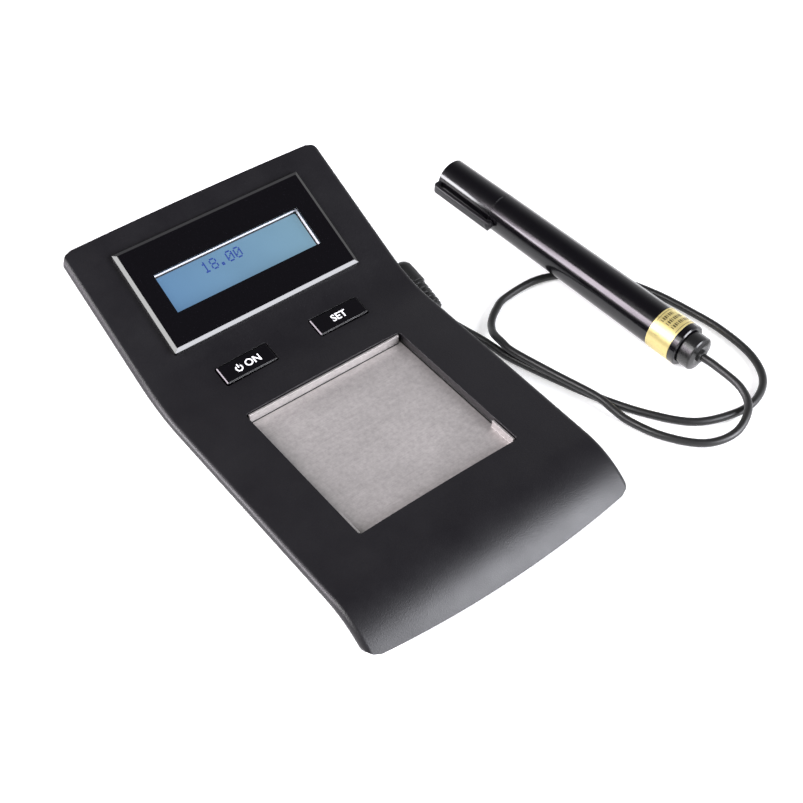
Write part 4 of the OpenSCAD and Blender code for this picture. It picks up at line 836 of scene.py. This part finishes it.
def power_sign(place):
    """Open ring with an upright bar."""
    shut = 360 - SIGN_OPEN_A
    ring = [radians(90 + SIGN_OPEN_A / 2 + shut * k / SIGN_STEPS) for k in range(SIGN_STEPS + 1)]
    points = [(r * cos(a), r * sin(a), z)
              for z in (0, SIGN_T) for r in (SIGN_R, SIGN_INNER_R) for a in ring]
    n = len(ring)
    faces = []
    for k in range(n - 1):
        faces += [(2 * n + k, 2 * n + k + 1, 3 * n + k + 1, 3 * n + k),
                  (k, n + k, n + k + 1, k + 1),
                  (k, k + 1, 2 * n + k + 1, 2 * n + k),
                  (n + k, 3 * n + k, 3 * n + k + 1, n + k + 1)]
    for k in (0, n - 1):
        faces.append((k, n + k, 3 * n + k, 2 * n + k))
    bar = box(-BAR_HALF_W, BAR_HALF_W, BAR_LOW, BAR_HIGH, 0, SIGN_T, len(points))
    mesh = mesh_of("power_sign", points + bar[0], faces + bar[1], place)
    piece("power_sign", mesh, "print", "left_key")


legend("left_legend", "ON", KEYS @ moved(ON_X, LETTER_Y, KEY_TOP + LETTER_RISE), "left_key")
legend("right_legend", "SET", KEYS @ moved(KEY_X, LETTER_Y, KEY_TOP + LETTER_RISE), "right_key")
power_sign(KEYS @ moved(SIGN_X, SIGN_Y, KEY_TOP + SIGN_RISE))

# ---- floor, backdrop and light ----


def floor_look():
    """Pale floor that shows white to the camera and in gloss, and keeps the shadow."""
    made = bpy.data.materials.new("pale_floor")
    made.use_nodes = True
    tree = made.node_tree
    link = tree.links.new
    shader = tree.nodes["Principled BSDF"]
    set_inputs(shader, Base_Color=(0.86, 0.86, 0.86, 1), Roughness=0.9, Specular_IOR_Level=0.0)
    glow = node_in(tree, "ShaderNodeEmission", (0, -300))
    set_inputs(glow, Strength=0.3)
    seen = node_in(tree, "ShaderNodeLightPath", (-200, 300))
    shown = node_in(tree, "ShaderNodeMath", (100, 300), operation="MAXIMUM")
    add = node_in(tree, "ShaderNodeAddShader", (250, -150))
    mix = node_in(tree, "ShaderNodeMixShader", (450, 0))
    link(shader.outputs[0], add.inputs[0])
    link(glow.outputs[0], add.inputs[1])
    link(seen.outputs["Is Camera Ray"], shown.inputs[0])
    link(seen.outputs["Is Glossy Ray"], shown.inputs[1])
    link(shown.outputs[0], mix.inputs[0])
    link(shader.outputs[0], mix.inputs[1])
    link(add.outputs[0], mix.inputs[2])
    link(mix.outputs[0], tree.nodes["Material Output"].inputs["Surface"])
    return made


FLOOR_HALF = 4
floor_mesh = bpy.data.meshes.new("floor")
floor_mesh.from_pydata([(-FLOOR_HALF, -FLOOR_HALF, 0), (FLOOR_HALF, -FLOOR_HALF, 0),
                        (FLOOR_HALF, FLOOR_HALF, 0), (-FLOOR_HALF, FLOOR_HALF, 0)],
                       [], [(0, 1, 2, 3)])
floor = bpy.data.objects.new("floor", floor_mesh)
floor.data.materials.append(floor_look())
bpy.context.scene.collection.objects.link(floor)


# how bright the sky is at heights from the horizon, 0, to overhead, 1
SKY_LEVELS = ((0.3, 0.8), (0.6, 0.36), (0.74, 0.19), (0.86, 0.07))


def studio_world():
    """Soft light, brightest at the horizon and dim overhead; white behind the object."""
    world = bpy.data.worlds.new("studio")
    world.use_nodes = True
    tree = world.node_tree
    link = tree.links.new
    place = node_in(tree, "ShaderNodeTexCoord", (-900, 0))
    split = node_in(tree, "ShaderNodeSeparateXYZ", (-700, 0))
    ramp = node_in(tree, "ShaderNodeValToRGB", (-450, 0))
    stops = ramp.color_ramp.elements
    stops[0].position, stops[0].color = 0.0, (1.0, 1.0, 1.0, 1)
    stops[1].position, stops[1].color = 1.0, (0.06, 0.06, 0.065, 1)
    for position, level in SKY_LEVELS:
        stop = stops.new(position)
        stop.color = (level, level, level * 1.03, 1)
    seen = node_in(tree, "ShaderNodeLightPath", (-450, 300))
    white = node_in(tree, "ShaderNodeMix", (-150, 100), data_type="RGBA")
    set_inputs(white, B=(1, 1, 1, 1))
    link(place.outputs["Generated"], split.inputs["Vector"])
    link(split.outputs["Z"], ramp.inputs["Fac"])
    link(seen.outputs["Is Camera Ray"], white.inputs["Factor"])
    link(ramp.outputs["Color"], white.inputs["A"])
    link(white.outputs["Result"], tree.nodes["Background"].inputs["Color"])
    return world


bpy.context.scene.world = studio_world()

# lamps: direction from the object, distance and size (m), power (W), tint
LAMPS = {
    "front_box": ((0.43, -0.80, 0.40), 1.3, (0.75, 0.85), 34, (0.93, 0.94, 1.0)),
    "left_box": ((-0.63, 0.03, 0.79), 1.25, (0.5, 0.6), 12, (1.0, 1.0, 1.0)),
    "rim_box": ((-0.70, 0.62, 0.26), 1.3, (0.6, 0.35), 15, (0.97, 0.96, 1.0)),
    "rear_box": ((-0.84, 0.36, 0.51), 1.05, (0.22, 0.5), 5.5, (1.0, 0.88, 1.0)),
}
for name, (towards, distance, size, power, tint) in LAMPS.items():
    light = bpy.data.lights.new(name, "AREA")
    light.color = tint
    light.shape = "RECTANGLE"
    light.size, light.size_y = size
    light.energy = power
    lamp = bpy.data.objects.new(name, light)
    way = Vector(towards).normalized()
    lamp.location = way * distance
    lamp.rotation_euler = way.to_track_quat("Z", "Y").to_euler()
    bpy.context.scene.collection.objects.link(lamp)
